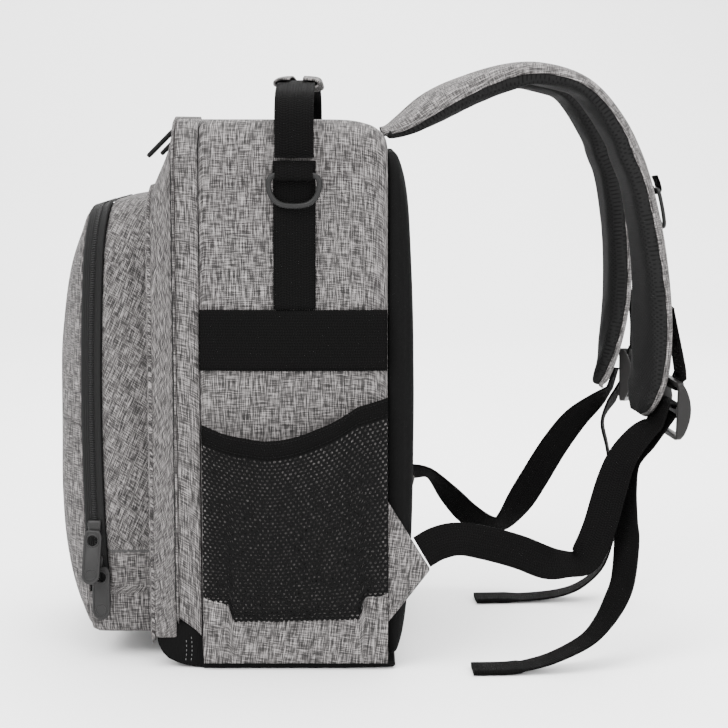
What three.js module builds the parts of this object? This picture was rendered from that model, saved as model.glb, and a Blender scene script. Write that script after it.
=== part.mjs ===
// Camera backpack, standing upright, in millimetres.
// +X is the wearer's right, -Y the front pocket, +Y the shoulder straps, +Z up.
// The origin is the middle of the flat foot of the bag.

import * as THREE from 'three';
import { mergeVertices } from 'three/addons/utils/BufferGeometryUtils.js';

// Body
const BODY_WIDTH = 270;
const BODY_HEIGHT = 400;
const SIDE_DEPTH = 135;
const FRONT_SEAM_Y = -61;
const CORNER_RADIUS = 26;
const SIDE_CROWN = 2.5;
const CLOTH = 2.6;
const SEAT = 0.35;

// Sections in front of the main compartment
const LID_DEPTH = 17.5;
const LID_STEP = 3;
const ZIP_LINE = 1.6;
const ORGANISER_DEPTH = 17.5;
const ORGANISER_INSET = 1.5;
const ORGANISER_BOTTOM = 22;
const ORGANISER_SLOPE = 38;
const ORGANISER_TOP = BODY_HEIGHT - 12;
const POCKET_WIDTH = 212;
const POCKET_TOP = BODY_HEIGHT - 55;
const POCKET_BOTTOM = 18;
const POCKET_CORNER = 46;
const POCKET_TAPER = 5;
const GUSSET_DEPTH = 32;
const GUSSET_BOW = 6;
const ZIP_TAPE_WIDTH = 16;
const ZIP_TAPE_END = 52;
const ZIP_TAPE_INSET = 0.8;
const ZIP_TAPE_SLANT = 0.022;
const FACE_CROWN = 25.5;
const PATCH_WIDTH = 58;
const PATCH_HEIGHT = 30;
const PATCH_Z = 88;
const PATCH_THICKNESS = 2.2;

// Foot and back
const BASE_THICKNESS = 5;
const BASE_CHEEK = 34;
const BACK_PADDING = 19;
const BACK_CROWN = 4;
const BACK_INSET = 6;

// Side webbing, ring and net pocket
const BAND_LOW = BODY_HEIGHT * 0.5525;
const BAND_HEIGHT = 44;
const WEBBING_WIDTH = 29;
const WEBBING_Y = 7.5;
const WEBBING = 1.8;
const RING_WIDTH = 41;
const RING_DROP = 24;
const RING_WIRE = 4;
const RING_BAR_Z = BODY_HEIGHT - 39;
const FOOT_TOP = 54;
const FOOT_STEP = 13;
const NET_TOP = BODY_HEIGHT * 0.47;
const NET_DIP = 16;
const NET_STAND = 14;
const HEM_WIDTH = 14;

// Carry handle
const HANDLE_RISE = 29;
const HANDLE_LENGTH = 206;
const HANDLE_SAG = 3;
const HANDLE_WEBBING_WIDTH = 28;
const WRAP_LENGTH = 168;
const WRAP_WIDTH = 34;
const WRAP_THICKNESS = 8;

// Shoulder straps
const STRAP_WIDTH = 61;
const STRAP_THICKNESS = 17;
const STRAP_ROOT_X = BODY_WIDTH * 0.2370;
const STRAP_SPREAD = 16;
const STRAP_REACH = 198.5;
const STRAP_RISE = 46;
const STRAP_DROP = 206;
const LEFT_STRAP_SWING = 12;
const STRAP_ROOT_DEPTH = 0.982;
const STRAP_ROOT_DROP = 14;
const SMALL_RING_WIDTH = 26;
const SMALL_RING_DROP = 30;
const SMALL_RING_WIRE = 3;
const SMALL_WEBBING_WIDTH = 20;

// Lower webbing, buckle and wing
const LOWER_WEBBING_WIDTH = 25;
const LADDER_WIDTH = 35;
const LADDER_LENGTH = 44;
const LADDER_BAR = 4;
const LADDER_DEPTH = 5;
const LADDER_RAIL = 3.2;
const LADDER_SWELL = 6;
const WING_LENGTH = 31;
const WING_LOW = 35;
const WING_HEIGHT = 90;
const WING_CLOTH = 3;
const WING_INSET = 1.8;
const FLOOR_GAP = 0.6;

// Zip sliders and their pulls
const SLIDER_LENGTH = 12;
const SLIDER_WIDTH = 10;
const SLIDER_HEIGHT = 4;
const PULL_LENGTH = 40;
const PULL_WIDTH = 13.5;
const PULL_THICKNESS = 1.8;
const PULL_HOLE = 4;
const UPPER_PULL_LEAN = 16;
const UPPER_SLIDER_Z = 99;
const SLIDER_STEP = 27;
const TOP_PULL_LENGTH = 28;
const TOP_PULL_WIDTH = 9;

const COLOURS = {
  grey_cloth: [0x8f8b8b, 0.95, 0],
  black_cloth: [0x28282a, 0.95, 0],
  webbing: [0x232322, 0.9, 0],
  net: [0x2e2e30, 0.9, 0],
  mesh_padding: [0x2a2a2c, 0.95, 0],
  zip: [0x1b1b1d, 0.7, 0],
  gunmetal: [0x5a5858, 0.35, 0.9],
  grey_plastic: [0x6b6868, 0.5, 0],
};

const halfBody = BODY_WIDTH / 2;
const backSeamY = FRONT_SEAM_Y + SIDE_DEPTH;
const lidFrontY = FRONT_SEAM_Y - LID_DEPTH;
const organiserBackY = lidFrontY - ZIP_LINE;
const organiserFrontY = organiserBackY - ORGANISER_DEPTH;
const pocketBackY = organiserFrontY - SEAT;
const lerp = (a, b, t) => a + (b - a) * t;
const spread = (count) => Array.from({ length: count + 1 }, (_, i) => i / count);
const vec = (x, y, z) => new THREE.Vector3(x, y, z);

const bag = new THREE.Group();

// Adds one closed piece to the bag.
function add(name, geometry, look) {
  const [color, roughness, metalness] = COLOURS[look];
  const mesh = new THREE.Mesh(geometry, new THREE.MeshStandardMaterial({ color, roughness, metalness }));
  mesh.name = name;
  bag.add(mesh);
}

// Turns points and triangles into a closed geometry, without the triangles that have no area.
function closed(points, triangles) {
  const flat = new THREE.BufferGeometry();
  flat.setAttribute('position', new THREE.Float32BufferAttribute(points.flatMap((p) => [p.x, p.y, p.z]), 3));
  flat.setIndex(triangles.flat());
  const merged = mergeVertices(flat, 1e-3);
  const index = Array.from(merged.index.array);
  const kept = [];
  for (let i = 0; i < index.length; i += 3) {
    const [a, b, c] = index.slice(i, i + 3);
    if (a !== b && b !== c && c !== a) kept.push(a, b, c);
  }
  merged.setIndex(kept);
  merged.computeVertexNormals();
  return merged;
}

// Six times the signed volume, which tells whether the faces point out.
function volumeOf(points, triangles) {
  return triangles.reduce((sum, [a, b, c]) => sum + points[a].dot(points[b].clone().cross(points[c])), 0);
}

function facingOut(points, triangles) {
  const turned = volumeOf(points, triangles) < 0;
  return closed(points, turned ? triangles.map(([a, b, c]) => [a, c, b]) : triangles);
}

// A wall between two grids of points of equal size. around closes each row on itself.
function wall(outer, inner, around = false) {
  const rows = outer.length;
  const columns = outer[0].length;
  const points = [...outer.flat(), ...inner.flat()];
  const out = (i, j) => i * columns + (j % columns);
  const into = (i, j) => rows * columns + out(i, j);
  const triangles = [];
  const quad = (a, b, c, d) => triangles.push([a, b, c], [a, c, d]);
  const last = around ? columns : columns - 1;
  for (let i = 0; i < rows - 1; i += 1) {
    for (let j = 0; j < last; j += 1) {
      quad(out(i, j), out(i + 1, j), out(i + 1, j + 1), out(i, j + 1));
      quad(into(i, j), into(i, j + 1), into(i + 1, j + 1), into(i + 1, j));
    }
  }
  for (let j = 0; j < last; j += 1) {
    quad(out(0, j), out(0, j + 1), into(0, j + 1), into(0, j));
    quad(out(rows - 1, j + 1), out(rows - 1, j), into(rows - 1, j), into(rows - 1, j + 1));
  }
  if (!around) {
    for (let i = 0; i < rows - 1; i += 1) {
      quad(out(i + 1, 0), out(i, 0), into(i, 0), into(i + 1, 0));
      quad(out(i, last), out(i + 1, last), into(i + 1, last), into(i, last));
    }
  }
  return facingOut(points, triangles);
}

// A solid through a row of closed sections, each capped by a fan about its middle.
function loft(sections) {
  const count = sections[0].length;
  const points = sections.flat();
  const triangles = [];
  for (let i = 0; i < sections.length - 1; i += 1) {
    for (let j = 0; j < count; j += 1) {
      const [a, b] = [i * count + j, i * count + ((j + 1) % count)];
      triangles.push([a, b, b + count], [a, b + count, a + count]);
    }
  }
  const cap = (first, turned) => {
    const middle = vec(0, 0, 0);
    for (let j = 0; j < count; j += 1) middle.addScaledVector(points[first + j], 1 / count);
    points.push(middle);
    const centre = points.length - 1;
    for (let j = 0; j < count; j += 1) {
      const [a, b] = [first + j, first + ((j + 1) % count)];
      triangles.push(turned ? [centre, b, a] : [centre, a, b]);
    }
  };
  cap(0, true);
  cap((sections.length - 1) * count, false);
  return facingOut(points, triangles);
}

// Smooth values between the rows of a table, each column on its own curve.
function smooth(rows, steps) {
  const keys = Object.keys(rows[0]);
  const at = (i) => rows[Math.min(Math.max(i, 0), rows.length - 1)];
  const result = [];
  for (let i = 0; i < rows.length - 1; i += 1) {
    for (let k = 0; k < steps; k += 1) {
      const t = k / steps;
      const row = {};
      keys.forEach((key) => {
        const [a, b, c, d] = [at(i - 1)[key], at(i)[key], at(i + 1)[key], at(i + 2)[key]];
        row[key] = 0.5 * (2 * b + (c - a) * t + (2 * a - 5 * b + 4 * c - d) * t * t
          + (3 * b - a - 3 * c + d) * t * t * t);
      });
      result.push(row);
    }
  }
  result.push({ ...rows[rows.length - 1] });
  return result;
}

// A strip of webbing: four corners at each station, across its width and through its thickness.
function strip(stations, width, thickness) {
  return loft(stations.map((station, i) => {
    const before = stations[Math.max(i - 1, 0)].centre;
    const after = stations[Math.min(i + 1, stations.length - 1)].centre;
    const along = after.clone().sub(before).normalize();
    const across = station.across.clone().addScaledVector(along, -station.across.dot(along)).normalize();
    const face = across.clone().cross(along).normalize();
    const w = (station.width ?? width) / 2;
    const t = (station.thickness ?? thickness) / 2;
    return [[-w, -t], [w, -t], [w, t], [-w, t]].map(([a, b]) => station.centre.clone()
      .addScaledVector(across, a).addScaledVector(face, b));
  }));
}

// A closed ring of round wire along a list of points that lie in one plane.
function wireRing(path, normal, wire) {
  const sides = 6;
  const count = path.length;
  const points = [];
  const triangles = [];
  path.forEach((p, i) => {
    const along = path[(i + 1) % count].clone().sub(path[(i + count - 1) % count]).normalize();
    const outward = along.clone().cross(normal).normalize();
    for (let k = 0; k < sides; k += 1) {
      const angle = (k / sides) * 2 * Math.PI;
      points.push(p.clone().addScaledVector(outward, Math.cos(angle) * wire / 2)
        .addScaledVector(normal, Math.sin(angle) * wire / 2));
      const [a, b] = [i * sides + k, i * sides + ((k + 1) % sides)];
      const [c, d] = [((i + 1) % count) * sides + ((k + 1) % sides), ((i + 1) % count) * sides + k];
      triangles.push([a, b, c], [a, c, d]);
    }
  });
  return facingOut(points, triangles);
}

// How far the side panel stands out at a place on it.
function sideX(y, z) {
  const u = THREE.MathUtils.clamp((y - FRONT_SEAM_Y) / SIDE_DEPTH, 0, 1);
  const v = THREE.MathUtils.clamp(z / BODY_HEIGHT, 0, 1);
  return halfBody + SIDE_CROWN * 16 * u * (1 - u) * v * (1 - v);
}

// The closed outline of a section seen from the front: side, top corner, top, corner, side, bottom.
function outline(half, bottom, top, topRadius, bottomRadius, stations = 4) {
  const loop = [];
  const arc = (cx, cz, r, from) => spread(4).forEach((t) => {
    const angle = from + t * Math.PI / 2;
    loop.push([cx + r * Math.cos(angle), cz + r * Math.sin(angle)]);
  });
  const between = (a, b) => spread(stations).slice(1, -1).forEach((t) => {
    loop.push([lerp(a[0], b[0], t), lerp(a[1], b[1], t)]);
  });
  arc(half - topRadius, top - topRadius, topRadius, 0);
  between([half - topRadius, top], [topRadius - half, top]);
  arc(topRadius - half, top - topRadius, topRadius, Math.PI / 2);
  between([-half, top - topRadius], [-half, bottom + bottomRadius]);
  arc(bottomRadius - half, bottom + bottomRadius, bottomRadius, Math.PI);
  between([bottomRadius - half, bottom], [half - bottomRadius, bottom]);
  arc(half - bottomRadius, bottom + bottomRadius, bottomRadius, 1.5 * Math.PI);
  between([half, bottom + bottomRadius], [half, top - topRadius]);
  return loop;
}

// Main compartment: the sides and the top are one bent wall.
// Each row is a place along the depth: how far the top drops and the wall steps in there.
function mainShell() {
  const rows = [
    { depth: 0, drop: 4, inset: 1.5 },
    { depth: 0.03, drop: 0, inset: 0 },
    { depth: 0.28, drop: 0, inset: 0 },
    { depth: 0.53, drop: 0, inset: 0 },
    { depth: 0.76, drop: 0.5, inset: 0 },
    { depth: 0.9, drop: 4, inset: 0 },
    { depth: 0.965, drop: 9, inset: 0 },
    { depth: 1, drop: 20, inset: 1 },
  ];
  const section = (y, drop, inset, thickness) => {
    const top = BODY_HEIGHT - drop - thickness;
    const radius = CORNER_RADIUS - thickness;
    const half = (z) => sideX(y, z) - inset - thickness;
    const side = spread(8).map((t) => lerp(BASE_THICKNESS + SEAT, top - radius, t));
    const right = side.map((z) => vec(half(z), y, z));
    const corner = half(top - radius) - radius;
    const arc = spread(4).slice(1).map((t) => {
      const angle = t * Math.PI / 2;
      return vec(corner + radius * Math.cos(angle), y, top - radius + radius * Math.sin(angle));
    });
    const upper = spread(4).slice(1, -1).map((t) => vec(lerp(corner, -corner, t), y, top));
    const mirror = (list) => list.map((p) => vec(-p.x, p.y, p.z)).reverse();
    return [...right, ...arc, ...upper, ...mirror(arc), ...mirror(right)];
  };
  const grid = (thickness) => rows.map(({ depth, drop, inset }) => (
    section(FRONT_SEAM_Y + depth * SIDE_DEPTH, drop, inset, thickness)));
  add('main_shell', wall(grid(0), grid(CLOTH)), 'grey_cloth');
}

// A dish: rings of one outline from its open back rim to the middle of its front.
// Each ring has its place along Y and its share of the way to the middle.
function dish(name, rings, thickness, look) {
  const face = (push, shrink) => rings.map(({ y, half, top, bottom, radius, share }) => {
    const h = Math.max(half - shrink, 1);
    const loop = outline(h, bottom + shrink, top - shrink, Math.max(radius - shrink, 2), 12);
    const middle = (top + bottom) / 2;
    return loop.map(([x, z]) => vec(x * (1 - share), (typeof y === 'function' ? y(x, z) : y) + push,
      lerp(z, middle, share)));
  });
  const outer = face(0, 0);
  const inner = face(thickness, thickness);
  inner[0] = inner[0].map((p, i) => vec(p.x, outer[0][i].y, p.z));
  const points = [...inner].reverse().concat(outer);
  add(name, loft(points), look);
}

function lidPanel() {
  const radius = CORNER_RADIUS;
  const back = FRONT_SEAM_Y - SEAT;
  const low = BASE_CHEEK - 10;
  const high = BASE_CHEEK + LID_STEP;
  dish('lid_panel', [
    { y: back, half: halfBody - 1.5, top: BODY_HEIGHT - LID_STEP - 1, bottom: low, radius, share: 0 },
    { y: back - LID_DEPTH * 0.25, half: halfBody, top: BODY_HEIGHT, bottom: low + 5, radius, share: 0 },
    { y: back - LID_DEPTH * 0.8, half: halfBody, top: BODY_HEIGHT, bottom: high, radius, share: 0 },
    { y: lidFrontY, half: halfBody - 3, top: BODY_HEIGHT - 3, bottom: high + 1, radius, share: 0 },
    { y: lidFrontY, half: halfBody - 3, top: BODY_HEIGHT - 3, bottom: high + 1, radius, share: 0.75 },
  ], CLOTH, 'grey_cloth');
}

// The organiser's zip lies in the gap in front of the lid.
function organiserZip() {
  const inset = ORGANISER_INSET + 5;
  const ring = (y, shrink) => outline(halfBody - inset - shrink, BASE_CHEEK + 8 + shrink,
    ORGANISER_TOP - 4 - shrink, CORNER_RADIUS, 12).map(([x, z]) => vec(x, y, z));
  const front = organiserBackY + SEAT;
  const back = lidFrontY - SEAT;
  add('organiser_zip', wall([ring(back, 0), ring(front, 0)], [ring(back, 5), ring(front, 5)], true), 'zip');
}

function organiserSection() {
  const half = halfBody - ORGANISER_INSET;
  const bottom = ORGANISER_BOTTOM;
  const top = ORGANISER_TOP;
  const radius = CORNER_RADIUS + 4;
  const at = (share) => organiserBackY - ORGANISER_DEPTH * share;
  const slope = (share) => top - ORGANISER_SLOPE * share;
  dish('organiser_section', [
    { y: at(0), half, top, bottom, radius, share: 0 },
    { y: at(0.35), half, top: slope(0.4), bottom, radius, share: 0 },
    { y: at(0.75), half, top: slope(0.82), bottom, radius, share: 0 },
    { y: at(0.95), half: half - 1.5, top: slope(1), bottom: bottom + 1, radius, share: 0 },
    { y: at(1), half: half - 5, top: slope(1.12), bottom: bottom + 4, radius, share: 0 },
    { y: at(1), half: half - 5, top: slope(1.12), bottom: bottom + 4, radius, share: 0.75 },
  ], CLOTH, 'grey_cloth');
}

// The front pocket's zip runs in a bowed line that stands furthest out at half height.
const pocketMiddle = (POCKET_TOP + POCKET_BOTTOM) / 2;
const pocketHalfHeight = (POCKET_TOP - POCKET_BOTTOM) / 2;
const zipLineY = (z) => pocketBackY - GUSSET_DEPTH - GUSSET_BOW * (1 - ((z - pocketMiddle) / pocketHalfHeight) ** 2);

function pocketLoop(shrink) {
  return outline(POCKET_WIDTH / 2 - shrink, POCKET_BOTTOM + shrink, POCKET_TOP - shrink,
    POCKET_CORNER - shrink, 14, 6);
}

function pocketGusset() {
  const ring = (share, shrink) => pocketLoop(shrink).map(([x, z]) => {
    const front = z > ZIP_TAPE_END ? zipLineY(z) : zipLineY(z) - ZIP_TAPE_WIDTH;
    const topDrop = POCKET_TAPER * share * Math.max(0, (z - pocketMiddle) / pocketHalfHeight) ** 2;
    return vec(x * (1 - 0.012 * share), lerp(pocketBackY, front, share), z - topDrop);
  });
  const rows = [0, 0.3, 0.65, 1];
  add('pocket_gusset', wall(rows.map((t) => ring(t, 0)), rows.map((t) => ring(t, CLOTH)), true), 'grey_cloth');
}

// The tape goes over the pocket and down both sides to its ends.
function tapePoint(x, z, share) {
  const reach = lerp(SEAT, ZIP_TAPE_WIDTH - SEAT, share);
  const drop = POCKET_TAPER * Math.max(0, (z - pocketMiddle) / pocketHalfHeight) ** 2 * (1 + share * 0.8);
  return vec(x * (0.988 - ZIP_TAPE_SLANT * share), zipLineY(z) - reach, z - drop);
}

function pocketZipTape() {
  const loop = pocketLoop(ZIP_TAPE_INSET).filter(([, z]) => z > ZIP_TAPE_END + 3);
  const inner = pocketLoop(ZIP_TAPE_INSET + WEBBING).filter(([, z]) => z > ZIP_TAPE_END + 3);
  const start = loop.findIndex(([x, z], i) => i > 0 && x > 0 && loop[i - 1][0] < 0 && z < pocketMiddle);
  const turn = (list) => [...list.slice(start), ...list.slice(0, start)];
  const rows = [0, 0.5, 1];
  const grid = (list) => rows.map((t) => turn(list).map(([x, z]) => tapePoint(x, z, t)));
  add('pocket_zip_tape', wall(grid(loop), grid(inner)), 'zip');
}

// The pocket's face is a crowned cushion of cloth, fuller towards its foot.
function faceY(share, z) {
  const power = z > pocketMiddle ? 2.4 : 3.6;
  return zipLineY(z) - ZIP_TAPE_WIDTH - SEAT - FACE_CROWN * (1 - share ** power);
}

function pocketFace() {
  const shares = [1, 0.965, 0.86, 0.69, 0.47, 0.22];
  const face = (push, shrink) => shares.map((share) => pocketLoop(2.5 + shrink).map(([x, z]) => {
    const low = lerp(pocketMiddle, z - (z > pocketMiddle ? POCKET_TAPER * 1.8 : 0), share);
    return vec(x * 0.966 * share, faceY(share, low) + push * (share === 1 ? 0 : 1), low);
  }));
  add('pocket_face', loft([...face(CLOTH, CLOTH)].reverse().concat(face(0, 0))), 'grey_cloth');
}

function frontPatch() {
  const plate = (off) => spread(2).map((v) => spread(4).map((u) => {
    const x = lerp(-PATCH_WIDTH / 2, PATCH_WIDTH / 2, u);
    const z = lerp(PATCH_Z - PATCH_HEIGHT / 2, PATCH_Z + PATCH_HEIGHT / 2, v);
    const share = (pocketMiddle - z) / pocketHalfHeight;
    return vec(x, faceY(Math.max(share, Math.abs(x) / (POCKET_WIDTH / 2)), z) - off, z);
  }));
  add('front_patch', wall(plate(SEAT + PATCH_THICKNESS), plate(SEAT)), 'grey_plastic');
}

// A tray: flat under the bag, with the front lip turned up and low cheeks beside it.
function basePanel() {
  const rows = [
    { y: organiserFrontY + 4, floor: 0.5, cheek: 0.55 },
    { y: organiserFrontY + 8, floor: 0.26, cheek: 0.55 },
    { y: lidFrontY - ZIP_LINE, floor: 0.1, cheek: 0.55 },
    { y: lidFrontY + 0.5, floor: 0.06, cheek: 0.96 },
    { y: FRONT_SEAM_Y - 2.4, floor: 0, cheek: 0.56 },
    { y: FRONT_SEAM_Y - 1, floor: 0, cheek: BASE_THICKNESS / BASE_CHEEK },
    { y: FRONT_SEAM_Y + SIDE_DEPTH * 0.76, floor: 0, cheek: BASE_THICKNESS / BASE_CHEEK },
    { y: backSeamY + 6, floor: 0.06, cheek: BASE_THICKNESS / BASE_CHEEK },
  ];
  const section = ({ y, floor, cheek }, into) => {
    const half = halfBody - 1.2 - into;
    const low = floor * BASE_CHEEK + into;
    const high = Math.max(cheek * BASE_CHEEK - SEAT, low + 0.6);
    const right = [vec(half, y, high), vec(half, y, low + Math.min(2, (high - low) / 2)), vec(half - 2.5, y, low)];
    const mirror = right.map((p) => vec(-p.x, p.y, p.z)).reverse();
    return [...right, vec(0, y, low), ...mirror];
  };
  const cloth = CLOTH - 0.4;
  add('base_panel', wall(rows.map((row) => section(row, 0)), rows.map((row) => section(row, cloth))), 'black_cloth');
}

// The back is one padded panel, thickest at its middle.
function backPanel() {
  const half = halfBody - BACK_INSET;
  const bottom = BASE_THICKNESS * 1.8;
  const top = BODY_HEIGHT - 24;
  const rings = [
    { y: 0, share: 0, grow: 0 },
    { y: 0.4, share: 0, grow: 1.5 },
    { y: 0.75, share: 0.02, grow: 0 },
    { y: 0.96, share: 0.08, grow: 0 },
    { y: 1, share: 0.2, grow: 0 },
  ].map(({ y, share, grow }) => {
    const middle = (top + bottom) / 2;
    return outline(half + grow, bottom, top, CORNER_RADIUS, 12, 8).map(([x, z]) => {
      const height = (z - middle) / (top - bottom) * 2;
      const depth = (BACK_PADDING - 3) * (1 - 0.45 * height ** 4) * y + BACK_CROWN * (y === 1 ? 1 - height ** 2 : 0);
      return vec(x * (1 - share), backSeamY + SEAT + depth, lerp(z, middle, share));
    });
  });
  const crown = [0.45, 0.8].map((share) => {
    const middle = (top + bottom) / 2;
    return outline(half, bottom, top, CORNER_RADIUS, 12, 8).map(([x, z]) => {
      const height = (z - middle) / (top - bottom) * 2;
      const depth = BACK_PADDING - 3 + BACK_CROWN * (1 - (height * (1 - share)) ** 2);
      return vec(x * (1 - share), backSeamY + SEAT + depth * (1 - 0.45 * (height * (1 - share)) ** 4),
        lerp(z, middle, share));
    });
  });
  add('back_panel', loft([...rings, ...crown]), 'black_cloth');
}

// A patch of cloth that lies on the side panel. off gives how far it stands off it.
function onSide(side, us, vs, place, off) {
  return us.map((u) => vs.map((v) => {
    const [y, z] = place(u, v);
    return vec(side * (sideX(y, z) + off(u, v)), y, z);
  }));
}

function sidePatch(name, side, us, vs, place, off, thickness, look) {
  const stand = (u, v) => off(u, v) + thickness;
  add(name, wall(onSide(side, us, vs, place, stand), onSide(side, us, vs, place, off)), look);
}

// The net pocket's height along its upper edge, in millimetres, from front seam to back seam.
function netTop(u) {
  return NET_TOP - NET_DIP * Math.sin(Math.PI * Math.min(u * 1.05 + 0.12, 1)) + 14 * u ** 3;
}

function netBottom(u) {
  const step = THREE.MathUtils.smoothstep(u, 0.13, 0.17) - THREE.MathUtils.smoothstep(u, 0.84, 0.88);
  return FOOT_TOP - FOOT_STEP * step + 3 * u;
}

function sidePieces(side, label) {
  const alongBand = (u, v) => [lerp(FRONT_SEAM_Y, backSeamY, u), lerp(BAND_LOW, BAND_LOW + BAND_HEIGHT, v)];
  const seated = () => SEAT + 0.3;
  sidePatch(`side_band_${label}`, side, spread(6), spread(1), alongBand, seated, WEBBING, 'webbing');

  const low = BAND_LOW + BAND_HEIGHT + SEAT;
  const high = RING_BAR_Z + 10;
  const upright = (u, v) => [WEBBING_Y + lerp(-0.5, 0.5, u) * WEBBING_WIDTH * 1.04, lerp(low, high, v)];
  sidePatch(`side_webbing_${label}`, side, [0, 1], spread(5), upright, seated, WEBBING, 'webbing');

  const netUs = [0, 0.06, 0.13, 0.17, 0.34, 0.5, 0.67, 0.84, 0.88, 0.94, 1];
  const across = (u) => lerp(FRONT_SEAM_Y + 1, backSeamY + 0.5, u);
  const hemLow = (u) => netTop(u) - HEM_WIDTH;
  const stand = (u, v) => SEAT + 2.8 + NET_STAND * Math.sin(Math.PI * u) ** 0.8 * (0.25 + 0.75 * v);
  const net = (u, v) => [across(u), lerp(netBottom(u) - 8, hemLow(u) - SEAT, v)];
  sidePatch(`mesh_pocket_${label}`, side, netUs, spread(6), net, (u, v) => stand(u, v * 0.93), 1.1, 'net');

  const hem = (u, v) => [across(u), lerp(hemLow(u), netTop(u), v)];
  sidePatch(`mesh_hem_${label}`, side, netUs, spread(1), hem, (u, v) => stand(u, 0.95 + v * 0.05), 2, 'webbing');

  const foot = (u, v) => [across(u), lerp(BASE_THICKNESS + SEAT, netBottom(u) + 1, v)];
  sidePatch(`pocket_foot_${label}`, side, netUs, spread(3), foot, seated, 1.6, 'grey_cloth');
}

// A D-shaped ring: its straight bar on top, and a full bow below it.
function ringPath(width, drop, toWorld) {
  return spread(14).map((t) => {
    const angle = Math.PI * t;
    const across = -Math.sign(Math.cos(angle)) * Math.abs(Math.cos(angle)) ** 0.7;
    return toWorld(across * width / 2, -(Math.sin(angle) ** 0.7) * drop);
  });
}

// A loop of webbing folded round a ring's bar, sewn flat below or above it.
function foldedLoop(bar, tail, outward, across, width, wire) {
  const radius = wire / 2 + WEBBING / 2 + SEAT;
  const back = outward.clone().multiplyScalar(-radius);
  const stations = [bar.clone().add(back).addScaledVector(tail, 3)];
  spread(6).forEach((t) => {
    const angle = Math.PI * t;
    stations.push(bar.clone().addScaledVector(outward, -radius * Math.cos(angle))
      .addScaledVector(tail, -radius * Math.sin(angle)));
  });
  stations.push(bar.clone().addScaledVector(outward, radius * 0.9).addScaledVector(tail, 5));
  stations.push(bar.clone().addScaledVector(outward, radius * 0.55).addScaledVector(tail, 10));
  return strip(stations.map((centre) => ({ centre, across })), width, WEBBING);
}

function sideRing(side, label) {
  const outward = vec(side, 0, 0);
  const seat = sideX(WEBBING_Y, RING_BAR_Z) + SEAT * 3 + WEBBING * 2 + 0.6;
  const bar = vec(side * (seat + RING_WIRE / 2), WEBBING_Y, RING_BAR_Z);
  const path = ringPath(RING_WIDTH - RING_WIRE, RING_DROP - RING_WIRE / 2, (a, b) => (
    vec(bar.x, bar.y + a, bar.z + b)));
  add(`side_ring_${label}`, wireRing(path, outward, RING_WIRE), 'gunmetal');
  add(`ring_loop_${label}`, foldedLoop(bar, vec(0, 0, 1), outward, vec(0, 1, 0), WEBBING_WIDTH - 2, RING_WIRE),
    'webbing');
}

// The handle leaves the side webbing under the top edge and spans the bag from side to side.
function handle() {
  const foot = RING_BAR_Z + 12;
  const span = HANDLE_LENGTH / 2;
  const crest = BODY_HEIGHT + HANDLE_RISE;
  const rise = crest - foot;
  const crestAt = (x) => crest - HANDLE_SAG * (Math.abs(x) / (WRAP_LENGTH / 2)) ** 2;
  const outside = sideX(WEBBING_Y, foot) + SEAT + WEBBING / 2 + 0.4;
  const rows = [
    { x: outside, z: foot },
    { x: outside + 0.2, z: foot + rise * 0.25 },
    { x: outside - 0.6, z: foot + rise * 0.55 },
    { x: lerp(outside, span, 0.35), z: foot + rise * 0.78 },
    { x: span, z: foot + rise * 0.9 },
    { x: WRAP_LENGTH / 2, z: crestAt(WRAP_LENGTH / 2) },
    { x: WRAP_LENGTH / 3, z: crestAt(WRAP_LENGTH / 3) },
    { x: WRAP_LENGTH / 6, z: crestAt(WRAP_LENGTH / 6) },
  ];
  const half = smooth(rows, 2);
  const centres = [...half.map((p) => vec(p.x, WEBBING_Y, p.z)), vec(0, WEBBING_Y, crest),
    ...half.map((p) => vec(-p.x, WEBBING_Y, p.z)).reverse()];
  const across = vec(0, 1, 0);
  const stations = centres.map((centre) => ({ centre, across }));
  add('handle_webbing', strip(stations, HANDLE_WEBBING_WIDTH, WEBBING), 'webbing');

  // The wrap is one flap of cloth bent round the webbing, its two edges nearly meeting below.
  const round = spread(12).map((t) => {
    const angle = -Math.PI / 2 + 0.2 + t * (2 * Math.PI - 0.4);
    return [Math.sign(Math.cos(angle)) * Math.abs(Math.cos(angle)) ** 0.6,
      Math.sign(Math.sin(angle)) * Math.abs(Math.sin(angle)) ** 0.7];
  });
  const alongWrap = spread(8).map((t) => lerp(-WRAP_LENGTH / 2, WRAP_LENGTH / 2, t));
  const skin = (shrink) => alongWrap.map((x) => round.map(([a, b]) => (
    vec(x, WEBBING_Y + a * (WRAP_WIDTH / 2 - shrink), crestAt(x) + b * (WRAP_THICKNESS / 2 - shrink)))));
  add('handle_wrap', wall(skin(0), skin(CLOTH - 0.8)), 'grey_cloth');
}

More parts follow.
